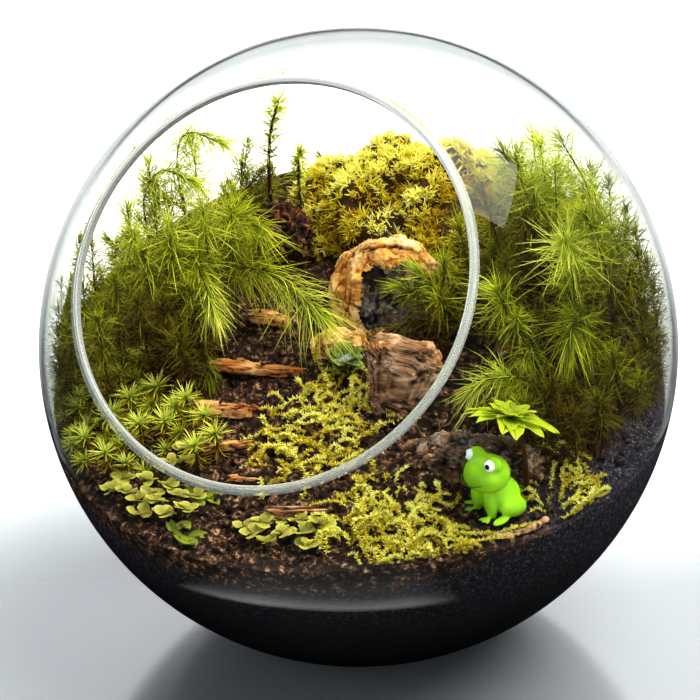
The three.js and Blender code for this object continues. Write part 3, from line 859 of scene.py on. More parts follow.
stepBark = {
    "grainTurn": (0, 0, -20), "grainStretch": (0.22, 1.3, 1.3), "grainScale": 0.52, "roughness": 0.72,
    "pale": [(0.34, "#2a1408"), (0.44, "#966232"), (0.56, "#cc9a60"), (0.72, "#eccc9c")],
    "rust": [(0.34, "#241005"), (0.44, "#7a3a10"), (0.56, "#b06620"), (0.72, "#dc9a4c")],
}
peatLook = {
    "grainTurn": (0, 0, 0), "grainStretch": (1.0, 1.0, 1.0), "grainScale": 0.6, "roughness": 0.85,
    "pale": [(0.32, "#080607"), (0.45, "#2c2321"), (0.56, "#685852"), (0.7, "#b8a696")],
    "rust": [(0.32, "#0a0605"), (0.45, "#382312"), (0.56, "#785034"), (0.7, "#c29266")],
}
rootLook = {
    "grainTurn": (0, 0, 0), "grainStretch": (1.0, 1.0, 0.6), "grainScale": 0.6, "roughness": 0.8,
    "pale": [(0.32, "#040203"), (0.45, "#170d0a"), (0.56, "#3a2218"), (0.7, "#84583c")],
    "rust": [(0.32, "#050202"), (0.45, "#200f08"), (0.56, "#4c2412"), (0.7, "#92542a")],
}


def lumpForm(form, finer):  # a turned lump, as unit-ball points, their place in the bowl and the faces
    ball, faces = ballShape(finer)
    scale = 1 + form["rough"] * wobble(ball, form["seed"], 0.6)
    square = np.sign(ball) * np.abs(ball) ** form.get("square", 1.0)
    points = square * np.array(form["size"]) * scale[:, None]
    points[:, :2] *= (1 + form.get("taper", 0) * (square[:, 2:] - 0.4))
    return points @ turnMatrix(form["turn"]).T + np.array(form["at"]), faces


def makeArch(material):
    form, hollow = lumps["bark_arch"], lumps["hollow"]
    points, faces = lumpForm(form, 7)
    # The charred hollow: the points inside it are pushed back to its far wall
    back = np.array(hollow["back"])
    turned = turnMatrix(hollow["turn"])
    size = np.array(hollow["size"]) * (1 + 0.3 * rough(points, 6, 4, 40))[:, None]
    local = (points - np.array(hollow["at"])) @ turned / size
    push = (back @ turned) / size
    a, b = (push**2).sum(1), (local * push).sum(1)
    c = (local**2).sum(1) - 1
    far = (-b + np.sqrt(np.maximum(b * b - a * c, 0))) / a
    within = c < 0
    points = points + np.where(within, far, 0)[:, None] * back
    normal = pointNormals(points, faces)
    char = np.where(within, np.clip(-c / 0.16, 0, 1), 0)
    # The bark's layers run round the hollow, so the grain is fine away from its middle and long around it
    spot = (points - np.array(hollow["at"])) @ turned
    around = np.arctan2(spot[:, 2], spot[:, 0])
    bent = 1.6 * rough(points, 7.0, 3, 44)
    layers = [1.2 * np.hypot(spot[:, 0], spot[:, 2]) + bent, 5.0 * around + bent, 1.1 * spot[:, 1] + bent]
    grain = np.stack(layers, -1) * (1 - char[:, None]) + spot * (1.2, 1.2, 0.6) * char[:, None]
    (big, bigCrack), (small, smallCrack) = broken(grain, 3.6, 31), broken(grain, 1.5, 52)
    plates = 0.6 * big + 0.5 * (bigCrack - 1)
    fine = 0.22 * small + 0.3 * (smallCrack - 1) + 0.3 * ridged(points, 1.3, 3, 33)
    fine = fine + 0.25 * rough(points, 0.6, 3, 34)
    broad = ridged(points, 8.0, 3, 37)
    relief = (0.85 + 0.5 * char) * plates + 0.5 * fine + 0.9 * broad * (1 - 0.4 * char)
    points = points + normal * relief[:, None]
    char = np.clip(char * (1.1 + 0.4 * rough(points, 4, 3, 36)), 0, 1)
    heap = Heap()
    heap.add(points, turnOut(points, faces), np.stack([char, 0.5 + 0.28 * plates + 0.2 * fine], -1))
    addPiece("bark_arch", heap, [material], mapName=barkMap)


def makeLump(node, material):
    form = lumps[node]
    seed, plate, height = form["seed"], form["plate"], form["plateHeight"]
    points, faces = lumpForm(form, 6)
    normal = pointNormals(points, faces)
    if "strata" in form:  # split layers, each standing out or back a little from the next
        layered = turnMatrix(form["strataTurn"])
        deep = (points - np.array(form["at"])) @ layered
        level = deep[:, 2] / form["strata"] + 0.5 * rough(points, 6.0, 3, seed + 3)
        sheet = np.floor(level)
        part = smooth(0.0, 0.12, level - sheet)
        steps = np.stack([sheet, sheet * 0, sheet * 0], -1).astype(np.int64)
        out = cornerValue(steps, 5) * part + cornerValue(steps - (1, 0, 0), 5) * (1 - part)
        sideways = normal - np.outer(normal @ layered[:, 2], layered[:, 2])
        depth = (out - 0.5) * form["strataDepth"] * (0.7 + 0.3 * rough(points, 9.0, 2, 9))
        points = points + sideways * depth[:, None]
    grain = (points @ turnMatrix(form["grainTurn"])) * np.array(form["stretch"])
    grain = grain + 0.25 * plate * rough(points, plate, 2, 23)[:, None]
    (big, bigCrack), (small, smallCrack) = broken(grain, plate, seed), broken(grain, plate / 2.6, seed + 5)
    plates = 0.6 * big + 0.5 * (bigCrack - 1)
    fine = 0.5 * small + 0.6 * (smallCrack - 1) + 0.5 * ridged(grain, plate / 4, 3, seed + 7)
    fine = fine + 0.5 * rough(points, 0.7, 3, seed + 8)
    points = points + normal * (height * plates + 0.45 * height * fine)[:, None]
    points = keepInside(points, 0.4)
    heap = Heap()
    marks = np.stack([np.zeros_like(fine), 0.5 + 0.28 * plates + 0.2 * fine], -1)
    heap.add(points, turnOut(points, faces), marks)
    for _ in range(form.get("fibres", 0)):  # thin roots that hang out of the peat
        start = rng.integers(len(points))
        way = unit(normal[start] + 0.7 * jitter(3) - (0, 0, 0.3))
        length = 3 + 5 * rng.random()
        tip = points[start] + way * length * 0.8 - (0, 0, length / 3)
        curve, _ = curveThrough([points[start], points[start] + way * length / 2, tip], 7)
        small = Heap()
        addTube(small, keepInside(curve), np.linspace(0.2, 0.08, 7), around=4)
        strand, strandFaces, *_ = small.joined()
        heap.add(strand, strandFaces, np.full((len(strand), 2), (0, 0.3 + 0.5 * rng.random())))
    addPiece(node, heap, [material], mapName=barkMap)


def makeFlake(node, at, length, width, thickness, lie, seed, material):  # a split slab with torn ends
    rings, around = flakePoints
    along = np.sin(np.linspace(-math.pi / 2, math.pi / 2, rings)) / 2
    turn = np.linspace(0, 2 * math.pi, around, endpoint=False)
    ring = np.stack([np.cos(turn), np.sin(turn)], -1)
    ring = np.sign(ring) * np.abs(ring) ** 0.36 / 2
    taper = np.interp(np.abs(along), [0, 0.3, 0.42, 0.48, 0.5], [1, 0.94, 0.8, 0.55, 0.12])
    line = np.stack([along * length, np.full(rings, 2.0 * seed), np.zeros(rings)], -1)
    front, back = (1 + 0.2 * rough(line, 4.0, 4, seed + k) for k in (20, 30))
    half = np.where(ring[None, :, 0] > 0, back[:, None], front[:, None])
    y = ring[None, :, 0] * width * taper[:, None] * half
    z = ring[None, :, 1] * thickness * (0.55 + 0.45 * taper[:, None])
    z = z + 0.1 * thickness * np.sin(5 * along + 2 * seed)[:, None]
    x = np.broadcast_to((along * length)[:, None], y.shape)
    points = np.stack([x, y, z], -1).reshape(-1, 3)
    ends = [[-length / 2 - 0.1, 0, z[0].mean()], [length / 2 + 0.1, 0, z[-1].mean()]]
    points = np.vstack([points, ends])
    faces = tubeFaces(rings, around)
    normal = pointNormals(points, turnOut(points, faces))
    grain = points * (0.14, 0.9, 1.5) + seed * 13.0
    big, crack = broken(grain, 1.7, seed)
    plates, fine = 0.6 * big + 0.7 * (crack - 1), rough(grain, 0.5, 3, seed + 5)
    points = points + normal * (0.3 * plates + 0.12 * fine)[:, None]
    torn = rough(points * (0.1, 1, 1), 1.1, 3, seed)
    x = points[:, 0]
    points[:, 0] += 0.11 * length * torn * smooth(0.55, 1.0, np.abs(x) / length * 2) * np.sign(x)
    points = points @ turnMatrix(lie).T + np.array(at)
    heap = Heap()
    marks = np.stack([np.zeros_like(fine), 0.5 + 0.34 * plates + 0.2 * fine], -1)
    heap.add(points, turnOut(points - points.mean(0), faces), marks)
    addPiece(node, heap, [material], mapName=barkMap)


makeSoil()
print("the soil is in")
archBark = brokenBark("weatheredPineBark", tanBark)
makeArch(archBark)
darkBark = brokenBark("oldPineBark", greyBark)
makeLump("bark_chunk_right", darkBark)
makeLump("bark_chunk_mid", archBark)
makeLump("peat_block_right", brokenBark("fibrousPeat", peatLook))
makeLump("root_clump", brokenBark("rottedRoots", rootLook))
splitBark = brokenBark("splitBark", stepBark)
for seed, (node, flake) in enumerate(flakes.items(), 1):
    makeFlake(node, *flake, seed, darkBark if node == "bark_strip_front" else splitBark)
print("bark and peat are laid")


# Leafy shoots

# Foot and tip colours by age: the darker foot colours are painted shade, the palest tip colours a painted
# highlight
tailLeaf = {
    "roughness": 0.42,
    "through": 0.34,
    "shaded": 1.25,  # how much of a leaf keeps the darker colour of its foot, which is painted shade
    "foot": [(0.0, "#120a06"), (0.08, "#4a2412"), (0.1, "#120b04"), (0.35, "#1c1d04"), (0.6, "#364205"),
             (1.0, "#8a9c0a")],
    "tip": [(0.0, "#24160d"), (0.08, "#6b3a1c"), (0.1, "#60380f"), (0.22, "#6a5410"), (0.38, "#7c7812"),
            (0.6, "#aeb01a"), (0.8, "#d8dc2c"), (1.0, "#fdfc70")],
}

# Each shoot's root and the points it bends through, how fresh it is, its leaves' length and its side shoots.
# How fresh also holds painted shade: low, deep shoots on the right have lower numbers so they come out darker
shoots = {
    "tail_moss_left": [
        ((-52, 6), [(-53, 3, 110), (-54, 0, 134), (-49, -2, 144.5), (-38, -3, 143)], 0.95, 7.5, 1),
        ((-62, -4), [(-60, -8, 110), (-60, -10, 126), (-54, -10, 135.5), (-44, -11, 134)], 0.92, 7.5, 1),
        ((-66, -12), [(-62, -15, 104), (-57, -23, 121)], 0.95, 7.5, 2),
        ((-70, -16), [(-69, -16, 98), (-67, -15, 114)], 0.5, 5.0, 3),
        ((-50, -15), [(-50, -16, 97), (-51, -16, 110)], 0.36, 7.0, 2),
        ((-54, -4), [(-47, -10, 110), (-40, -17, 109), (-34, -22, 100)], 0.98, 7.5, 1),
        ((-46, 4), [(-40, -4, 104), (-30, -9, 109), (-18, -9, 106), (-7, -9, 97)], 0.96, 10.5, 0),
        ((-52, 17), [(-46, 10, 110), (-38, 5, 118), (-28, 0, 117)], 0.76, 8.0, 1),
        ((-48, 25), [(-46, 22, 104), (-46, 19, 120)], 0.68, 6.0, 2),
        ((-72, -34), [(-74, -31, 84), (-73, -26, 98)], 0.5, 5.0, 2),
        ((-44, -16), [(-40, -21, 91), (-35, -25, 82)], 0.45, 6.5, 1),
        ((-66, 12), [(-68, 12, 104), (-67, 10, 120)], 0.75, 6.5, 2),
    ],
    "tail_moss_right": [
        ((58, 14), [(61, 10, 112), (62, -1, 126)], 1.0, 9.5, 1),
        ((60, 32), [(61, 30, 110), (59, 27, 130), (52, 24, 145)], 0.95, 9.0, 2),
        ((44, 28), [(44, 26, 118), (40, 24, 132), (36, 22, 140)], 0.6, 8.5, 2),
        ((71, 10), [(72, 10, 104), (69, 7, 122), (66, 4, 132)], 0.62, 9.0, 2),
        ((72, 28), [(72, 26, 100), (68, 22, 120)], 0.5, 8.5, 2),
        ((68, -2), [(69, -3, 100), (68, -9, 106), (68, -14, 101)], 0.6, 9.0, 1),
        ((53, -2), [(54, -4, 93), (54, -11, 94)], 0.66, 7.0, 1),
        ((64, -16), [(60, -20, 91), (50, -24, 93), (44, -26, 90)], 0.95, 8.0, 1),
        ((65, -22), [(66, -23, 86), (67, -24, 94)], 0.2, 6.0, 1),
        ((73, -22), [(73, -24, 80), (73, -25, 87)], 0.24, 5.0, 1),
        ((76, -12), [(77, -14, 80), (77, -17, 88)], 0.34, 6.5, 2),
        ((46, 2), [(46, 0, 98), (42, -4, 110)], 0.78, 8.5, 2),
        ((30, 8), [(24, 8, 98), (15, 9, 107)], 0.85, 8.0, 1),
        ((27, 1), [(21, 0, 96), (11, -4, 93)], 0.3, 7.5, 0),
        ((33, 24), [(32, 22, 112), (28, 20, 128)], 0.5, 8.0, 2),
        ((76, 2), [(78, -2, 80), (77, -4, 96)], 0.5, 7.0, 2),
    ],
    "tail_moss_back": [
        ((54, 46), [(54, 46, 104), (48, 44, 126)], 0.65, 8.5, 3),
        ((-54, 42), [(-55, 42, 108), (-52, 38, 122)], 0.65, 7.5, 3),
    ],
}

shootLook = {
    "perMm": 5.7,  # leaves along each millimetre of stem
    "perTip": 70,  # and in the crown at its tip
    "width": 0.265,
    "stem": 0.42,
    "spread": 74.0,  # degrees between a grown leaf's foot and the stem
    "tipSpread": 14.0,
    "opening": 2.0,  # distance from the tip over which the leaves open
    "droop": 0.4,
    "grown": 1.22,  # how much longer the leaves are than the lengths given above
    "sweep": 0.36,  # how far a leaf curves towards the stem's tip
}

# Smaller shoots that fill the crowd: where each tip is, how fresh it is and how long its leaves are;
# low numbers on the low right-hand tips are partly painted shade
crowd = {
    "tail_moss_right": [
        (34, 40, 132, 0.55, 8.0), (40, 38, 123, 0.6, 8.5), (56, 40, 131, 0.62, 9.0),
        (38, 30, 109, 0.5, 8.5), (21, 16, 109, 0.72, 8.0), (22, 8, 100, 0.64, 8.0), (29, 26, 108, 0.5, 8.5),
        (46, 23, 107, 0.3, 9.0), (68, 35, 117, 0.6, 9.0), (73, 31, 111, 0.42, 8.5),
        (75, 25, 104, 0.34, 8.5), (79, 19, 93, 0.3, 8.0), (76, 11, 87, 0.3, 8.0), (64, 20, 102, 0.28, 9.0),
        (67, 14, 96, 0.5, 9.5), (60, -27, 89, 0.5, 7.5), (75, -10, 84, 0.36, 8.0), (72, -16, 82, 0.24, 7.0),
        (50, 18, 97, 0.26, 9.0), (39, 11, 95, 0.36, 8.0), (46, 42, 128, 0.62, 9.0), (22, 25, 115, 0.5, 8.0),
        (32, 14, 100, 0.6, 8.0), (67, 32, 108, 0.62, 9.0), (54, 2, 100, 0.36, 8.5), (42, 34, 116, 0.4, 8.0),
        (58, 28, 118, 0.66, 9.0), (36, 48, 136, 0.95, 9.0), (32, 46, 132, 0.92, 9.0),
        (27, 47, 125, 0.9, 8.5), (42, 40, 130, 0.92, 9.5), (58, 37, 127, 0.96, 9.0),
        (62, 33, 121, 0.94, 9.0), (46, 38, 122, 0.9, 9.5), (44, 32, 140, 0.97, 9.0),
        (50, 27, 136, 0.97, 9.5), (44, 26, 130, 0.94, 9.5), (56, 32, 119, 0.88, 9.0),
        (36, 40, 119, 0.82, 8.5), (62, 41, 129, 0.6, 6.0), (67, 40, 121, 0.5, 6.0),
        (71, 38, 116, 0.55, 6.0), (75, 35, 108, 0.45, 6.0), (78, 33, 101, 0.4, 6.0),
        (79, 30, 94, 0.45, 6.0), (80, 27, 89, 0.35, 5.5), (81, 24, 82, 0.4, 5.5), (80, 20, 77, 0.3, 5.5),
        (79, 15, 75, 0.35, 5.5),
    ],
    "tail_moss_left": [
        (-48, 0, 143, 0.88, 8.0), (-42, -8, 126, 0.88, 8.0), (-36, -2, 124, 0.72, 8.0),
        (-47, -19, 124, 0.88, 8.0), (-42, -12, 114, 0.72, 8.0), (-41, -21, 107, 0.62, 8.0),
        (-67, -28, 119, 0.6, 6.5), (-65, -38, 111, 0.5, 6.0), (-64, -47, 102, 0.45, 6.0),
        (-56, -36, 113, 0.45, 6.5), (-49, -37, 108, 0.28, 7.0), (-44, -31, 106, 0.22, 7.0),
        (-39, -33, 97, 0.35, 7.0), (-55, -49, 107, 0.5, 6.0), (-30, 2, 113, 0.55, 7.0),
        (-57, -10, 138, 0.82, 7.5), (-58, -22, 129, 0.82, 7.0), (-67, 40, 112, 0.62, 6.5),
        (-70, 35, 111, 0.55, 6.0), (-73, 31, 109, 0.66, 6.5), (-75, 26, 108, 0.55, 6.5),
        (-77, 20, 107, 0.62, 6.5), (-78, 15, 104, 0.5, 6.5), (-78, 10, 103, 0.6, 6.0),
        (-78, 4, 101, 0.5, 6.5), (-79, -2, 99, 0.55, 6.0), (-78, -8, 97, 0.5, 6.0),
        (-77, -13, 95, 0.5, 6.0), (-75, -20, 92, 0.45, 6.0), (-63, 48, 108, 0.5, 5.0),
        (-58, 54, 110, 0.55, 5.0), (-52, 59, 112, 0.5, 5.0), (-46, 64, 113, 0.55, 5.0),
        (-60, 46, 111, 0.6, 6.0), (-54, 55, 112, 0.45, 5.0), (-40, 68, 114, 0.55, 5.0),
        (-50, 50, 108, 0.5, 5.5), (-52, -26, 118, 0.6, 7.5), (-62, -32, 104, 0.42, 6.0),
        (-46, -6, 118, 0.7, 8.0), (-76, -36, 102, 0.5, 5.0), (-76, -39, 96, 0.4, 5.0),
        (-75, -41, 91, 0.5, 5.0), (-74, -43, 86, 0.4, 5.0), (-72, -46, 81, 0.5, 5.0),
        (-70, -48, 77, 0.4, 5.0), (-72, -37, 97, 0.35, 5.5), (-71, -42, 89, 0.3, 5.5),
        (-68, -46, 84, 0.35, 5.5), (-76, -30, 108, 0.5, 5.0),
    ],
}


def addShoot(heap, path, length, fresh, leaf, bare=0.12, stem=shootLook["stem"], rings=4):
    look = shootLook
    leaf = leaf * look["grown"]
    count = int(look["perMm"] * length * (1 - bare)) + look["perTip"]
    place = 1 - (1 - bare) * ((np.arange(count) + 0.5) / count) ** 1.5  # the leaves crowd towards the tip
    along, side, other = framesAlong(path)
    spots = place * (len(path) - 1)
    low = np.minimum(spots.astype(int), len(path) - 2)
    part = (spots - low)[:, None]
    rows = (path, along, side, other)
    foot, stemWay, side, other = (row[low] * (1 - part) + row[low + 1] * part for row in rows)
    fromTip = (1 - place) * length
    radial = aroundStem(np.arange(count) * goldenAngle + 0.35 * jitter(count), side, other)
    opened = 1 - np.exp(-fromTip / look["opening"])
    old = 1 - smooth(0.1, 0.65, place)
    spread = look["tipSpread"] + (look["spread"] - look["tipSpread"]) * opened - 12 * old
    spread = spread * (1 + 0.45 * jitter(count) * (1 - 0.6 * opened)) + 9 * jitter(count)
    way = leanOut(stemWay, radial, np.radians(spread))
    size = leaf * (0.45 + 0.55 * (1 - np.exp(-fromTip / 1.6))) * (0.72 + 0.28 * place)
    size = size * rng.uniform(0.75, 1.12, count)
    size = np.where(rng.random(count) < 0.06, size * 1.15, size)
    curl = look["sweep"] * rng.uniform(-0.4, 2.0, count)
    sag = np.outer(size * rng.uniform(0.4, 1.6, count), (0, 0, -look["droop"]))
    bend = stemWay * (curl * size)[:, None] + sag + 0.24 * size[:, None] * jitter(count, 3)
    across = acrossLeaf(way, stemWay, 0.35)
    # Leaves lower on the stem are darker and browner: partly because they are older, partly painted shade
    # inside the shoot
    tone = fresh * (0.19 + 0.81 * smooth(0.08, 0.92, place)) + 0.07 * jitter(count)
    tone = np.clip(tone + 0.06 * np.exp(-fromTip / 2), 0.12, 0.98)
    width = look["width"] * rng.uniform(0.8, 1.25, count) * (0.75 + leaf / 32)
    addLeaves(heap, foot + radial * stem * 0.6, way, bend, size, width, across, tone, rings=rings)
    addTube(heap, path, np.linspace(stem, stem * 0.45, len(path)))


def stemPath(root, through, samples=28):
    start = (root[0], root[1], groundHeight(root[0], root[1]) - 2)
    return curveThrough([start, *through], samples)


def makeShoots(material):
    for kind, group in shoots.items():
        for number, (root, through, fresh, leaf, sideShoots) in enumerate(group, 1):
            heap = Heap()
            path, length = stemPath(root, through)
            addShoot(heap, path, length, fresh, leaf)
            along, side, other = framesAlong(path)
            for _ in range(sideShoots):
                spot = rng.integers(int(0.12 * len(path)), int(0.62 * len(path)))
                turn = rng.random() * 2 * math.pi
                outward = math.cos(turn) * side[spot] + math.sin(turn) * other[spot]
                reach = rng.uniform(9, 18)
                way = unit(0.8 * outward + 0.5 * along[spot] + (0, 0, 0.3))
                points = [path[spot], path[spot] + way * reach * 0.5, path[spot] + way * reach + (0, 0, 1.5)]
                twig, twigLength = curveThrough(keepInside(np.array(points), 5.0), 12)
                age = np.clip(fresh + rng.uniform(-0.35, 0.0), 0.15, 1)
                addShoot(heap, twig, twigLength, age, leaf * 0.85, bare=0.2, stem=0.3, rings=3)
            for x, y, z, age, size in crowd.get(kind, []):
                nearest = min(group, key=lambda shoot: math.dist(shoot[0], (x, y)))
                if nearest[0] != root:
                    continue
                foot = (x + 0.2 * (root[0] - x), y + 0.2 * (root[1] - y) + 3)
                middle = [0.6 * end + 0.4 * start + rng.normal() for end, start in zip((x, y), foot)]
                middle = (*middle, 0.45 * z + 0.55 * groundHeight(*foot))
                bent = keepInside(np.array([middle, (x, y - 1.5, z)]), 4.0)
                addShoot(heap, *stemPath(foot, bent, 18), age, size, bare=0.25, stem=0.34)
            addPiece(f"{kind}_{number:02d}", heap, [material])


sprigs = {  # root on the ground, the points it bends through, leaf length and number of whorls
    "tall_sprig_01": ((-43, 38), [(-44, 39, 118), (-43, 39, 130), (-40, 39, 141)], 6.2, 22),
    "tall_sprig_02": ((-34, 40), [(-35, 40, 116), (-34, 40, 126)], 5.0, 13),
}


def makeSprigs(material):
    for node, (root, through, leaf, whorls) in sprigs.items():
        path, _ = stemPath(root, through, 60)
        heap = Heap()
        addTube(heap, path, np.linspace(0.8, 0.3, 60), tone=0.03)
        along, side, other = framesAlong(path)
        for place in 0.34 + 0.66 * np.arange(whorls) / (whorls - 1):
            crown = place > 0.99
            spot = min(int(place * 59 + 0.5), 59)
            count = int(5 + 14 * smooth(0.5, 1, place)) + 26 * crown
            radial = aroundStem(np.arange(count) * goldenAngle + rng.random() * 6, side[spot], other[spot])
            way = leanOut(along[spot], radial, np.radians(rng.uniform(20 if crown else 45, 105, count)))
            size = leaf * (0.55 + 0.45 * place) * rng.uniform(0.7, 1.2, count)
            foot = path[spot] - along[spot] * rng.uniform(0, 2.4, count)[:, None]
            bend = np.outer(size, (0, 0, -0.16)) + 0.14 * size[:, None] * jitter(count, 3)
            across = acrossLeaf(way, along[spot], 0.4)
            tone = np.clip(0.3 + 0.62 * smooth(0.4, 1, place) + 0.1 * jitter(count), 0.15, 0.98)
            addLeaves(heap, foot, way, bend, size, 0.5, across, tone)
        addPiece(node, heap, [material])


tailMaterial = mossLeaf("tailMossLeaf", tailLeaf)
makeShoots(tailMaterial)
makeSprigs(tailMaterial)
print("the leafy shoots stand")


# Star moss

# Foot and tip colours by age: the darker foot colours are painted shade, the palest tip colours a painted
# highlight
starLeaf = {
    "roughness": 0.45,
    "through": 0.38,
    "foot": [(0.0, "#140c08"), (0.08, "#4a2814"), (0.1, "#3a220a"), (0.4, "#3a3806"), (0.7, "#586808"),
             (1.0, "#98ae10")],
    "tip": [(0.0, "#1c120b"), (0.08, "#7a4a22"), (0.1, "#8a5826"), (0.4, "#b0a022"), (0.7, "#dce434"),
            (1.0, "#fffe88")],
}

carpets = {
    "star_moss_left": {"at": (-64, -40), "size": (15, 22)},
    "star_moss_path": {"at": (-42, -46), "size": (10, 13)},
    "feather_moss_centre": {"at": (3, -33), "size": (15, 20)},
    "feather_moss_front": {"at": (36, -62), "size": (22, 13)},
    "feather_moss_right": {"at": (73, -30), "size": (9, 8)},
    "round_leaf_left": {"at": (-33, -66), "size": (13, 8)},
    "round_leaf_front": {"at": (8, -71), "size": (14, 5)},
    "round_leaf_path": {"at": (-30, -53), "size": (4.5, 4)},
    "dark_leaf_cluster": {"at": (0, -9.5), "size": (7, 5)},
    "liverwort_front": {"at": (-17, -77), "size": (7, 2)},
    "liverwort_path": {"at": (-20, -62), "size": (7, 2.4)},
}


def spotsOn(carpet, spacing):  # places on a carpet, none nearer to another than spacing
    kept = []
    at, size = np.array(carpet["at"]), np.array(carpet["size"])
    for turn, away in zip(rng.random(carpetTries) * 2 * math.pi, np.sqrt(rng.random(carpetTries))):
        spot = at + size * away * (math.cos(turn), math.sin(turn))
        place = np.append(spot, groundHeight(*spot) + 2)
        if np.linalg.norm(place - globeCentre) > innerRadius - 2.5:
            continue
        if all(np.hypot(*(spot - other)) > spacing for other in kept):
            kept.append(spot)
    return np.array(kept)


starMoss = {
    "spacing": 5.0,
    "stem": (3.0, 12.0),
    "leaf": (3.6, 5.4),
    "leaves": 38,
    "width": 0.42,
    "litter": 260,
}


starTops = [  # the taller ones that stand out in front of the leafy shoots
    (-45, -50, 77), (-38, -48, 78), (-26, -54, 75), (-58, -57, 74), (-49, -62, 73), (-65, -47, 78),
    (-66, -28, 86), (-55, -28, 86), (-63, -38, 83), (-45, -38, 83), (-51, -43, 81), (-35, -40, 82),
    (-28, -43, 79), (-58, -35, 84), (-38, -41, 79), (-72, -40, 82), (-76, -30, 86), (-22, -49, 77),
    (-63, -44, 81), (-54, -48, 78),
]


def addRosette(heap, foot, top, leaf, fresh):
    leaves = starMoss["leaves"]
    path, length = curveThrough([foot, (foot + top) / 2 + (0.4, 0.2, 0), top], 8)
    addTube(heap, path, 0.32, around=5)
    stemWay = unit(path[-1] - path[-2])
    side = unit(np.cross(stemWay, (0.3, 0.8, 0.1)))
    count = leaves + int(length * 5)
    order = np.arange(count)
    out = order / leaves
    radial = aroundStem(order * goldenAngle + 0.25 * jitter(count), side, np.cross(stemWay, side))
    # The leaves below the rosette are old and small
    down = np.clip((order - leaves) / max(count - leaves, 1), 0, 1)
    spread = np.where(order < leaves, 14 + 74 * out**0.8, 75 + 20 * down) + 7 * jitter(count)
    size = leaf * (0.6 + 0.4 * smooth(0, 0.35, out)) * (1 - 0.35 * down) * rng.uniform(0.85, 1.12, count)
    way = leanOut(stemWay, radial, np.radians(spread))
    below = down * length * 0.9 + 0.9 * np.minimum(out, 1)
    base = path[-1] - stemWay * below[:, None] + radial * 0.25
    bend = stemWay * (0.12 * size)[:, None] - np.outer(size, (0, 0, 0.2))
    bend = bend + 0.06 * size[:, None] * jitter(count, 3)
    across = acrossLeaf(way, stemWay, 0.2)
    tone = fresh * np.where(order < leaves, 1.0 - 0.3 * order / leaves, 0.4 - 0.25 * down)
    tone = np.clip(tone + 0.05 * jitter(count), 0.11, 0.98)
    addLeaves(heap, base, way, bend, size, starMoss["width"], across, tone, widest=0.2, foot=0.8, fold=0.28)


def makeStarMoss(material):
    for node in ("star_moss_left", "star_moss_path"):
        carpet, heap = carpets[node], Heap()
        for spot in spotsOn(carpet, starMoss["spacing"]):
            away = np.linalg.norm((spot - carpet["at"]) / carpet["size"])
            tall = rng.uniform(*starMoss["stem"]) * (1.05 - 0.45 * away)
            foot = onGround(*spot, -0.5)
            top = foot + (rng.normal() * 1.2, rng.normal() * 1.2 - 0.8, tall)
            top = keepInside(top[None], 3.2)[0]
            addRosette(heap, foot, top, rng.uniform(*starMoss["leaf"]), rng.uniform(0.6, 1.0))
        for top in starTops if node == "star_moss_left" else []:
            foot = onGround(top[0] - 0.5, top[1] + 1.0, -0.5)
            addRosette(heap, foot, np.array(top, float), starMoss["leaf"][1], 0.98)
        addLitter(heap, carpet)
        addPiece(node, heap, [material])


def addLitter(heap, carpet):  # dead stems and old leaves between the living ones
    count = starMoss["litter"]
    turn, away = rng.random(count) * 2 * math.pi, np.sqrt(rng.random(count))
    x = carpet["at"][0] + carpet["size"][0] * away * np.cos(turn)
    y = carpet["at"][1] + carpet["size"][1] * away * np.sin(turn)
    base = onGround(x, y, 0.2)
    base[:, 2] += rng.random(count) * 2.2
    way = unit(jitter(count, 3) * (1, 1, 0.5) + (0, 0, 0.15))
    size = rng.uniform(1.5, 4.5, count)
    bend = 0.3 * size[:, None] * jitter(count, 3) * (1, 1, 0.4)
    tone = np.where(rng.random(count) < 0.35, 0.13, rng.uniform(0.02, 0.08, count))
    addLeaves(heap, base, way, bend, size, 0.36, acrossLeaf(way), tone, rings=3)


makeStarMoss(mossLeaf("starMossLeaf", starLeaf))
print("the star moss grows")


# Golden feather moss

# Foot and tip colours by age: the darker foot colours are painted shade, the palest tip colours a painted
# highlight
featherLeaf = {
    "roughness": 0.5,
    "through": 0.36,
    "foot": [(0.0, "#2a1a0c"), (0.08, "#5a3c14"), (0.1, "#5a4410"), (0.4, "#7c680a"), (0.7, "#b0a40e"),
             (1.0, "#dcd81c")],
    "tip": [(0.0, "#3a2410"), (0.08, "#8a6024"), (0.1, "#9a7a1e"), (0.4, "#c8ac1c"), (0.7, "#faee48"),
            (1.0, "#fffeb0")],
}

featherMoss = {
    "strandsPerArea": 0.17,  # strands for each square millimetre of carpet
    "strand": (6.0, 15.0),
    "pitch": 0.36,  # distance between pairs of leaflets
    "leaflet": (0.6, 1.3),
    "width": 0.48,
}


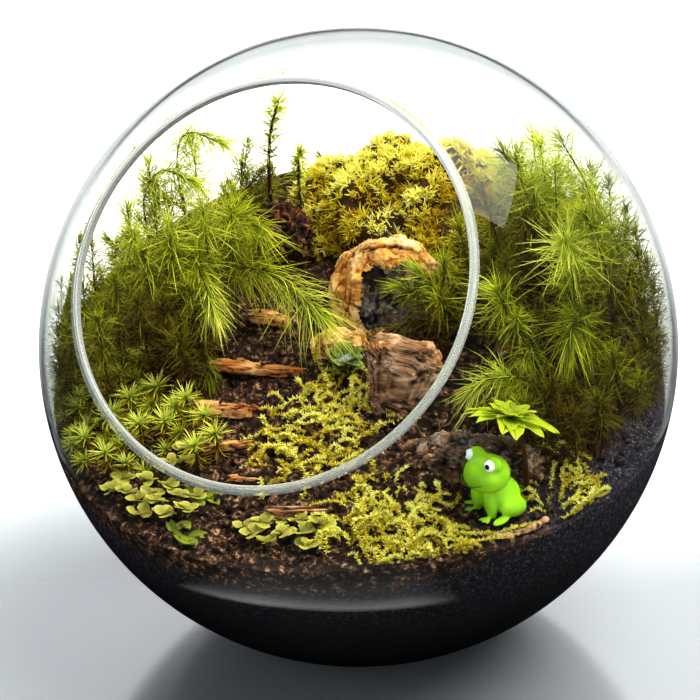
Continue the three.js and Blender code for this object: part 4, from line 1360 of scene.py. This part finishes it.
def addStrand(heap, path, tone):  # a creeping stem with two rows of leaflets and a third on top
    look = featherMoss
    length = np.linalg.norm(np.diff(path, axis=0), axis=1).sum()
    count = max(int(length / look["pitch"]), 4)
    along = framesAlong(path)[0]
    flat = unit(np.cross(along, (0, 0, 1)))
    up = unit(np.cross(flat, along))
    up = np.where(up[:, 2:] < 0, -up, up)
    last = len(path) - 1.001
    spots = np.clip(np.tile(np.linspace(0, last, count), 4) + 0.3 * rng.random(4 * count), 0, last)
    low = spots.astype(int)
    part = (spots - low)[:, None]
    base = path[low] * (1 - part) + path[low + 1] * part
    sign, lift = (np.repeat(row, count)[:, None] for row in ((1, -1, 0.35, -0.35), (0.35, 0.35, 1.0, 1.0)))
    way = unit(flat[low] * sign + up[low] * lift + along[low] * 0.55 + 0.25 * jitter(len(low), 3))
    size = rng.uniform(*look["leaflet"], len(low)) * (0.75 + 0.25 * np.sin(np.pi * spots / len(path)))
    bend = up[low] * (0.15 * size)[:, None] + 0.15 * size[:, None] * jitter(len(low), 3)
    across = acrossLeaf(way, up[low], 0.5)
    tones = np.clip(tone + 0.18 * jitter(len(low)), 0.11, 0.98)
    width = look["width"] * size / look["leaflet"][1]
    addLeaves(heap, base, way, bend, size, width, across, tones, rings=2, widest=0.45, foot=0.5)
    addTube(heap, path, 0.16, around=4, tone=0.3)


def strandOver(start, heading, length, lift):
    steps = max(int(length / 1.1), 5)
    turn = heading + np.cumsum(0.36 * jitter(steps))
    spot = np.array(start) + np.cumsum(np.stack([np.cos(turn), np.sin(turn)], -1), axis=0) * length / steps
    arch = np.sin(np.linspace(0, math.pi, steps)) * rng.uniform(0.2, 2.2)
    return keepInside(onGround(spot[:, 0], spot[:, 1], lift + arch), 0.8)


featherLoop = [(-4.0, -4.5, 88.5), (-7.5, -6.5, 90.0), (-9.0, -9.5, 87.0), (-6.0, -13.5, 83.5),
               (-1.0, -16.0, 81.5)]
# Strands that creep round the frog's feet: places on the ground, which each strand joins
strandsByFrog = [
    [(38, -52), (44, -54), (50, -56), (54, -54)], [(48, -58), (55, -57), (60, -52)],
    [(44, -60), (51, -60), (57, -58)], [(36, -48), (42, -49), (47, -48)], [(60, -54), (65, -49), (70, -44)],
    [(50, -62), (56, -59), (62, -56), (66, -53)],
]


def makeFeatherMoss(material):
    for node in ("feather_moss_centre", "feather_moss_front", "feather_moss_right"):
        at, size = (np.array(carpets[node][key]) for key in ("at", "size"))
        heap = Heap()
        for _ in range(int(math.pi * size[0] * size[1] * featherMoss["strandsPerArea"])):
            turn, away = rng.random() * 2 * math.pi, rng.random() ** 0.6 * 1.12
            spot = at + size * away * (math.cos(turn), math.sin(turn))
            patchy = lumpy(np.array([[*spot, 0.0]]), 9.0, 51)[0]
            if patchy < -0.35 and rng.random() < 0.75:
                continue
            length = rng.uniform(*featherMoss["strand"]) * (1.1 - 0.5 * away)
            path = strandOver(spot, rng.random() * 2 * math.pi, length, rng.uniform(0.4, 2.2))
            addStrand(heap, path, np.clip(0.68 + 0.34 * patchy + 0.2 * rng.normal(), 0.16, 0.98))
        if node == "feather_moss_centre":
            addStrand(heap, curveThrough(featherLoop, 26)[0], 0.55)
        if node == "feather_moss_front":
            for places in strandsByFrog:
                lifted = [onGround(x, y, rng.uniform(1.0, 2.6)) for x, y in places]
                addStrand(heap, curveThrough(lifted, 20)[0], 0.75)
        addPiece(node, heap, [material])


makeFeatherMoss(mossLeaf("featherMossLeaf", featherLeaf))
print("the feather moss creeps")


# Cushion moss on the back mound

# Foot and tip colours by age: the darker foot colours are painted shade, the palest tip colours a painted
# highlight
cushionLeaf = {
    "roughness": 0.6,
    "through": 0.34,
    "foot": [(0.0, "#0d0806"), (0.08, "#3c2412"), (0.1, "#33200a"), (0.4, "#6c5608"), (0.7, "#a2920c"),
             (1.0, "#d0c616")],
    "tip": [(0.0, "#1c110a"), (0.08, "#8a5426"), (0.1, "#9a6620"), (0.4, "#d2a81a"), (0.7, "#f4e232"),
            (1.0, "#fefa98")],
}

mound = {
    "at": (-2, 52),
    "size": (40, 25),
    "height": 20.5,
    "lumps": 0.09,
    "seed": 2,
    "lumpWave": 5.5,
    "tufts": 1250,
    "leaves": 17,
    "leaf": (1.5, 3.4),
    "width": 0.5,
}


def moundPoint(ball):  # unit-ball points onto the mound
    lumps, seed = mound["lumps"], mound["seed"]
    edge = 1 + lumps * wobble(ball, seed, 0.45)
    x, y = (mound["at"][i] + mound["size"][i] * edge * ball[:, i] for i in (0, 1))
    flat = np.stack([x, y, np.zeros_like(x)], -1)
    rise = np.maximum(ball[:, 2], 0) * mound["height"] * (1 + lumps * wobble(flat, seed, mound["lumpWave"]))
    return np.stack([x, y, groundHeight(x, y) + np.where(ball[:, 2] > 0, rise, ball[:, 2])], -1)


def makeMound(material):
    ball, faces = ballShape(6)
    points = moundPoint(ball)
    normal = pointNormals(points, turnOut(points - points.mean(0), faces))
    dips = np.clip(1.0 * rough(points, 8.0, 3, 61) + 0.14, -0.7, 1)  # rounded cushions with gaps between, whose tufts are painted darker as shade
    swell = 2.8 * dips + 0.5 * rough(points, 2.0, 2, 63) - 2.2
    points = keepInside(points + normal * np.where(ball[:, 2] > 0.05, swell, 0)[:, None], 0.7)
    heap = Heap()
    shade = np.clip(0.25 + 0.5 * rough(points, 3.0, 3, 64), 0.02, 0.98)
    litter = np.stack([np.full(len(points), 0.03), shade], -1)
    heap.add(points, turnOut(points - points.mean(0), faces), litter)
    grown = np.flatnonzero(ball[:, 2] > 0.04)
    roots = rng.choice(grown[dips[grown] > -0.65], mound["tufts"], replace=False)
    patch = rough(points[roots], 13.0, 3, 66)
    count = mound["leaves"]
    total = len(roots) * count
    base = np.repeat(points[roots], count, axis=0) + 0.5 * jitter(total, 3)
    up = np.repeat(unit(normal[roots] + (0, -0.1, 0.55) + 0.3 * jitter(len(roots), 3)), count, axis=0)
    way = unit(up + 0.62 * jitter(total, 3))
    size = np.repeat(rng.uniform(*mound["leaf"], len(roots)), count) * rng.uniform(0.6, 1.1, total)
    bend = unit(way - up * (way * up).sum(1)[:, None]) * (0.32 * size)[:, None]
    across = acrossLeaf(way)
    # Painted shade and light: tufts in the dips get a darker tone, tufts on the cushion tops a paler one
    tone = np.clip(0.64 + 0.3 * patch + 0.42 * dips[roots] + 0.1 * jitter(len(roots)), 0.12, 0.95)
    tone = np.clip(np.repeat(tone, count) + 0.07 * jitter(total), 0.11, 0.98)
    addLeaves(heap, base, way, bend, size, mound["width"], across, tone, rings=3)
    addPiece("back_moss_mound", heap, [material])


makeMound(mossLeaf("cushionMossLeaf", cushionLeaf))
print("the mound is covered")


# Broad leaves: umbrella moss, round-leaved moss, the dark rosette and the liverwort

umbrella = {
    "root": (63, -33),
    "stemBend": (62, -34, 80),
    "top": (59.0, -35.5, 88.0),
    "tilt": (-14, 8),
    "scales": 16,  # small scale leaves down the stem
    "outer": {"count": 13, "length": 13.6, "width": 6.4, "rise": 4, "droop": 0.14},
    "inner": {"count": 8, "length": 8.0, "width": 4.2, "rise": 30, "droop": 0.14},
}


def broadLeafGrid(length, width, rows, columns, outline, cup, droop, waves, wave):
    # One leaf lying along +X from the origin, as a grid. outline gives its half width along its length.
    t = np.linspace(0, 1, rows)[:, None]
    s = np.linspace(-1, 1, columns)[None]
    half = width / 2 * outline(t)
    ripple = waves * np.sin(t * wave * 2 * math.pi) * s**2 * np.sign(s)
    z = cup * half * np.abs(s) ** 1.3 + ripple - droop * length * t**2
    points = np.stack([np.broadcast_to(t * length, z.shape), half * s, z], -1)
    return points.reshape(-1, 3), gridFaces(rows, columns), spreadMap(s, t)


def spreadMap(s, t):  # a leaf's map, from its ways across (-1 to 1) and along (0 to 1)
    return np.stack(np.broadcast_arrays(0.5 + 0.46 * s, t), -1).reshape(-1, 2)


def pointedOutline(t):
    return np.interp(t, [0, 0.12, 0.42, 0.72, 0.9, 1], [0.34, 0.62, 1.0, 0.72, 0.3, 0.02])


def roundOutline(t):
    disc = np.sqrt(np.clip(1 - (2 * np.clip(t, 0.12, 1) - 1.0) ** 2, 0.02, 1))
    return disc * np.interp(t, [0, 0.12, 0.3, 1], [0.14, 0.3, 1, 1])


def poseLeaf(points, heading, rise, at, roll=0.0, frameTurn=None):
    turned = points @ np.array(Matrix.Rotation(roll, 3, "X")).T
    turned = turned @ np.array(Matrix.Rotation(-rise, 3, "Y")).T
    turned = turned @ np.array(Matrix.Rotation(heading, 3, "Z")).T
    if frameTurn is not None:
        turned = turned @ frameTurn.T
    return turned + np.asarray(at)


def broadLeaf(name, look):
    # A leaf wide enough to show its midrib and its rows of cells, which catch the light as a faint grid.
    material, tree = newMaterial(name)
    place = addNode(tree, "UVMap", uv_map=leafMap)
    split = addNode(tree, "SeparateXYZ", {"Vector": place})
    middle = addNode(tree, "Math", {0: split.outputs["X"], 1: 0.5}, operation="SUBTRACT")
    off = addNode(tree, "Math", {0: middle}, operation="ABSOLUTE")
    cells = addNode(tree, "Mapping", {"Vector": place, "Scale": look["cells"]})
    grid = addNode(tree, "TexVoronoi", {"Vector": cells, "Scale": 1.0}, feature="DISTANCE_TO_EDGE")
    colour = addNode(tree, "ValToRGB", {"Fac": split.outputs["Y"]}, look["along"])
    for part, value, start, end, low, high in (
            ("wall", grid, 0.0, 0.16, 0.55, 0.0),
            ("edge", off, 0.38, 0.46, 0.0, 1.0),
            ("rib", off, 0.012, 0.05, 1.0, 0.0)):
        share = addNode(tree, "MapRange", {
            "Value": value, "From Min": start, "From Max": end, "To Min": low, "To Max": high})
        colour = addNode(tree, "Mix", {0: share, 6: colour, 7: look[part]}, data_type="RGBA")
    bump = addNode(tree, "Bump", {"Height": grid, "Strength": 0.25, "Distance": 0.0002})
    return leafSkin(material, colour, look, 0.5, Normal=bump)


umbrellaLeaf = {
    "along": [(0.0, "#506404"), (0.3, "#7e9006"), (0.75, "#a4b40e"), (1.0, "#c4cc30")],
    "wall": "#bec640", "edge": "#c2c83c", "rib": "#4a6006",
    "cells": (9.0, 26.0, 1.0), "roughness": 0.32, "through": 0.45,
}
discLeaf = {
    "along": [(0.0, "#4a400a"), (0.3, "#827a14"), (0.8, "#aeaa34"), (1.0, "#dcd678")],
    "wall": "#c0bc64", "edge": "#c8c474", "rib": "#7c8024",
    "cells": (9.0, 12.0, 1.0), "roughness": 0.36, "through": 0.4,
}
darkLeaf = {
    "along": [(0.0, "#1a2408"), (0.4, "#3a4c10"), (0.8, "#64781e"), (1.0, "#98a44a")],
    "wall": "#7c8c30", "edge": "#a4ac58", "rib": "#2a380a",
    "cells": (9.0, 12.0, 1.0), "roughness": 0.5, "through": 0.3,
}
thallusLeaf = {
    "along": [(0.0, "#34400a"), (0.4, "#566410"), (0.8, "#7c8a1c"), (1.0, "#a8b444")],
    "wall": "#98a238", "edge": "#3c460c", "rib": "#303a08",
    "cells": (12.0, 44.0, 1.0), "roughness": 0.28, "through": 0.3,
}


def makeUmbrella(material, stemMaterial):
    heap = Heap()
    tilt = turnMatrix((*umbrella["tilt"], 0))
    top = np.array(umbrella["top"])
    path, _ = stemPath(umbrella["root"], [umbrella["stemBend"], umbrella["top"]], 20)
    addTube(heap, path, np.linspace(0.75, 0.55, 20), kind=1)
    for layer in ("outer", "inner"):
        part = umbrella[layer]
        for i in range(part["count"]):
            heading = 2 * math.pi * (i + 0.35 * (layer == "inner")) / part["count"] + 0.13 * rng.normal()
            length = part["length"] * rng.uniform(0.86, 1.06)
            points, faces, maps = broadLeafGrid(
                length, part["width"] * rng.uniform(0.9, 1.1), 15, 7, pointedOutline, 0.28,
                part["droop"] * rng.uniform(0.6, 1.5), 0.22, 2.5)
            rise = math.radians(part["rise"] + 5 * rng.normal())
            points = poseLeaf(points, heading, rise, top, 0.15 * rng.normal(), tilt)
            heap.add(keepInside(points), faces, maps)
    scales = umbrella["scales"]
    turn = rng.random(scales) * 2 * math.pi
    spot = rng.integers(3, 17, scales)
    way = unit(np.stack([np.cos(turn), np.sin(turn), np.full(scales, 1.1)], -1))
    across = unit(np.cross(way, (0, 0, 1.0)))
    size = rng.uniform(1.6, 3.0, scales)
    addLeaves(heap, path[spot], way, -0.2 * way, size, 0.9, across, 0.1, rings=3, kind=1)
    addPiece("umbrella_moss", heap, [material, stemMaterial])


roundPlants = {  # distance between plants and the range of leaf sizes
    "round_leaf_left": (4.6, (3.2, 4.6)),
    "round_leaf_front": (4.4, (3.2, 4.8)),
    "round_leaf_path": (4.0, (3.0, 4.2)),
}


def makeRoundLeaves(material, stemMaterial):
    for node, (spacing, sizes) in roundPlants.items():
        heap = Heap()
        for spot in spotsOn(carpets[node], spacing):
            centre, foot = onGround(*spot, rng.uniform(0.8, 2.6)), onGround(*spot, -0.6)
            path, _ = curveThrough([foot, (foot + centre) / 2 + (0.3, -0.2, 0), centre], 6)
            addTube(heap, path, 0.28, around=5, kind=1)
            count = rng.integers(4, 8)
            for i in range(count):
                size = rng.uniform(*sizes) * (1 - 0.06 * i)
                cup, droop = rng.uniform(0.05, 0.22), rng.uniform(-0.05, 0.15)
                form = (size, size * 0.95, 11, 9, roundOutline, cup, droop, 0.1, 1.5)
                points, faces, maps = broadLeafGrid(*form)
                heading, rise = i * 2.4 + rng.random(), math.radians(rng.uniform(2, 34) + 6 * i / count)
                points = poseLeaf(points, heading, rise, centre + (0, 0, 0.16 * i), 0.25 * rng.normal())
                heap.add(keepInside(points), faces, maps)
        addPiece(node, heap, [material, stemMaterial])


darkRosette = {"centre": (0.6, -10.5, 84.6), "leaves": 16, "leaf": (4.4, 7.6), "fuzz": 420}


def makeDarkRosette(material, stemMaterial):
    heap = Heap()
    centre = np.array(darkRosette["centre"])
    foot = onGround(centre[0], centre[1], -0.5)
    path, _ = curveThrough([foot, (foot + centre) / 2 + (0.4, 0, 0), centre], 6)
    addTube(heap, path, 0.45, kind=1)
    for i in range(darkRosette["leaves"]):
        size = rng.uniform(*darkRosette["leaf"])
        droop = rng.uniform(0, 0.2)
        points, faces, maps = broadLeafGrid(size, size * 0.8, 12, 9, roundOutline, 0.24, droop, 0.15, 1.5)
        rise, lift = math.radians(rng.uniform(8, 50)), rng.uniform(-1.2, 0.8)
        heap.add(poseLeaf(points, i * 2.4, rise, centre + (0, 0, lift), 0.2 * rng.normal()), faces, maps)
    count = darkRosette["fuzz"]
    base = centre + jitter(count, 3) * (1.9, 1.4, 0.5) + (0, 0, 1.1)
    way = unit(jitter(count, 3) + (0, 0, 0.5))
    bend, size = 0.3 * jitter(count, 3), rng.uniform(0.7, 1.7, count)
    addLeaves(heap, base, way, bend, size, 0.13, acrossLeaf(way), 0.5, rings=2, kind=2)
    addPiece("dark_leaf_cluster", heap, [material, stemMaterial, whiteFuzz()])


def whiteFuzz():
    # Fine white hairs with water held between them: pale and almost without shine.
    material, tree = newMaterial("whiteLeafHair")
    return finishMaterial(material, addNode(tree, "BsdfPrincipled", {
        "Base Color": "#cdd6cf", "Roughness": 0.7, "Specular IOR Level": 0.3}))


thalli = {
    "liverwort_front": [
        [(-24.5, -74.0), (-21.5, -77.0), (-17.5, -79.0), (-13.5, -79.5)],
        [(-22.0, -75.8), (-20.0, -74.4), (-17.8, -74.6)],
        [(-16.5, -78.6), (-14.5, -76.8), (-11.8, -76.6)],
    ],
    "liverwort_path": [
        [(-26.0, -60.4), (-22.0, -61.8), (-18.0, -61.6), (-14.4, -63.2)],
        [(-22.4, -61.6), (-20.6, -63.6), (-18.0, -64.6)],
        [(-19.0, -61.8), (-17.2, -60.2), (-15.0, -60.0)],
    ],
}


def makeThalli(material):
    for node, ribbons in thalli.items():
        heap = Heap()
        for ribbon in ribbons:
            path, length = curveThrough([(x, y, 0) for x, y in ribbon], 30)
            side = np.cross(unit(np.gradient(path, axis=0)), (0, 0, 1))
            t, lanes = np.linspace(0, 1, 30), np.linspace(-1, 1, 9)
            taper = np.interp(t, [0, 0.12, 0.85, 1], [0.5, 0.85, 1.0, 0.45])
            half = 1.25 * taper * (1 + 0.14 * np.sin(9 * t + length))
            points = path[:, None] + side[:, None] * (half[:, None] * lanes[None])[..., None]
            waves = 0.35 * np.sin(7 * t + 2 * length)[:, None]
            lift = 1.0 + 0.7 * np.abs(lanes)[None] ** 2 + waves * lanes[None] ** 2
            points[..., 2] = groundHeight(points[..., 0], points[..., 1]) + lift
            maps = spreadMap(lanes[None], t[:, None])
            for sheet in (points, points - (0, 0, 0.35)):
                heap.add(keepInside(sheet.reshape(-1, 3)), gridFaces(30, 9), maps)
        addPiece(node, heap, [material])


plantStem = mossLeaf("mossStem", starLeaf)
makeUmbrella(broadLeaf("umbrellaMossLeaf", umbrellaLeaf), plantStem)
discMaterial = broadLeaf("roundMossLeaf", discLeaf)
makeRoundLeaves(discMaterial, plantStem)
makeDarkRosette(broadLeaf("darkMossLeaf", darkLeaf), plantStem)
makeThalli(broadLeaf("liverwortThallus", thallusLeaf))
print("the broad leaves are set")


# The twig and the frog

twig = {"over": [(71, -41), (69, -46), (65, -51), (61, -54)], "radius": 0.8, "lift": 0.7}


def makeTwig(material):
    spots = np.array([onGround(x, y, twig["lift"] + twig["radius"]) for x, y in twig["over"]])
    path, _ = curveThrough(spots, 60)
    radii = twig["radius"] * (1 + 0.14 * rough(path, 2.2, 3, 71)) * np.linspace(1.0, 0.75, 60)
    small, heap = Heap(), Heap()
    addTube(small, path, radii, around=12)
    points, faces, *_ = small.joined()
    normal = pointNormals(points, faces)
    ridges = ridged(points, 1.5, 3, 73)
    points = points + normal * (0.1 * ridges)[:, None]
    heap.add(points, faces, np.stack([np.zeros(len(points)), 0.45 + 0.3 * ridges], -1))
    addPiece("fallen_twig", heap, [material], mapName=barkMap)


makeTwig(darkBark)

frog = {
    "at": (57, -43),
    "lift": 0.6,
    "heading": 236,
    "middle": [((-1.5, 0, 5.2), (6.2, 5.6, 5.4), (0, -24, 0)), ((2.2, 0, 12.2), (6.3, 6.5, 5.0), (0, 6, 0))],
    "sides": [  # place, half sizes and turn of the round forms on its left; its right mirrors them
        ((2.6, 3.9, 16.1), (2.5, 2.4, 2.5), (0, 0, 0)),
        ((-2.6, 4.9, 3), (5, 2.6, 3.1), (0, -20, 14)),
        ((3.4, 2.9, 4.6), (1.7, 1.6, 4.8), (6, 12, 0)),
        ((2.4, 6.6, 0.9), (3.4, 1.5, 0.8), (0, 0, 18)),
    ],
    "toes": {"place": (5.0, 3.4, 0.75), "size": (1.9, 0.6, 0.55), "turns": (-28, 0, 28)},
    "eye": {"place": (4.15, 4.35, 16.5), "size": 1.62, "pupil": 0.8, "look": (0.86, 0.38, 0.2)},
    "smile": [(7.1, -4.6, 11.6), (8.35, -2.6, 10.75), (8.75, 0, 10.5), (8.35, 2.6, 10.75), (7.1, 4.6, 11.6)],
    "voxel": 0.3,  # the round forms are melted together in steps of this size
    "softened": 14,
    "glazes": {
        "greenGlazedEarthenware": ([(0.3, "#74b014"), (0.55, "#92cc1c"), (0.75, "#b0e238")], 0.22),
        "whiteGlaze": ([(0.3, "#e8ecee"), (0.7, "#f6f8f8")], 0.12),
        "blackGlaze": ([(0.3, "#0a0c10"), (0.7, "#14181e")], 0.1),
        "darkGreenGlaze": ([(0.3, "#285a08"), (0.7, "#347010")], 0.3),
    },
}


def glazedFrog(name, colour, roughness):
    # Slip-cast earthenware under a thick clear glaze: wet-looking highlights, and a faint mottle in its
    # colour.
    material, tree = newMaterial(name)
    place = addNode(tree, "TexCoord").outputs["Object"]
    mottle = addNode(tree, "TexNoise", {"Vector": place, "Scale": 0.13 / mm, "Detail": 2.0})
    shade = addNode(tree, "ValToRGB", {"Fac": mottle}, colour)
    return finishMaterial(material, addNode(tree, "BsdfPrincipled", {
        "Base Color": shade, "Roughness": roughness, "Coat Weight": 0.6, "Coat Roughness": 0.08,
        "Specular IOR Level": 0.5}))


def makeFrog():
    ball, ballFaces = ballShape(4)
    forms = frog["middle"] + [((x, side * y, z), size, (side * a, b, side * c))
                              for (x, y, z), size, (a, b, c) in frog["sides"] for side in (1, -1)]
    heap = Heap()
    for at, size, turn in forms:
        heap.add(ball * np.array(size) @ turnMatrix(turn).T + np.array(at), ballFaces)
    (x, y, z), toe = frog["toes"]["place"], ball * np.array(frog["toes"]["size"]) + (1.5, 0, 0)
    for side in (1, -1):
        for turn in frog["toes"]["turns"]:
            heap.add(toe @ turnMatrix((0, 0, turn + 12 * side)).T + (x - 1.2, side * y, z), ballFaces)
    points, faces, *_ = heap.joined()
    mesh = bpy.data.meshes.new("frogForms")
    mesh.from_pydata(points.tolist(), [], faces.tolist())
    joined = bpy.data.objects.new("frogForms", mesh)
    bpy.context.scene.collection.objects.link(joined)
    remesh = joined.modifiers.new("melt", "REMESH")
    remesh.mode, remesh.voxel_size = "VOXEL", frog["voxel"]
    soften = joined.modifiers.new("soften", "SMOOTH")
    soften.factor, soften.iterations = 0.5, frog["softened"]
    form = joined.evaluated_get(bpy.context.evaluated_depsgraph_get()).to_mesh()
    form.calc_loop_triangles()
    body = np.array([v.co[:] for v in form.vertices])
    bodyFaces = np.array([t.vertices[:] for t in form.loop_triangles])
    bpy.data.objects.remove(joined)
    bpy.data.meshes.remove(mesh)
    made = Heap()
    made.add(body, turnOut(body, bodyFaces))
    eye = frog["eye"]
    for side in (1, -1):  # painted eyes, as low domes set in the lids
        mirror = np.array([1, side, 1])
        place, look = mirror * eye["place"], unit(mirror * eye["look"])
        made.add(ball * eye["size"] + place, ballFaces, kind=1)
        made.add(ball * eye["pupil"] + place + look * (eye["size"] - 0.5), ballFaces, kind=2)
    addTube(made, curveThrough(frog["smile"], 24)[0], 0.17, kind=3)
    made.points = [np.concatenate(made.points) @ turnMatrix((0, 0, frog["heading"])).T
                   + (*frog["at"], groundHeight(*frog["at"]) + frog["lift"])]
    glazes = [glazedFrog(name, *glaze) for name, glaze in frog["glazes"].items()]
    addPiece("frog_figurine", made, glazes, mapName=None)


makeFrog()
print("the twig and the frog are in place")
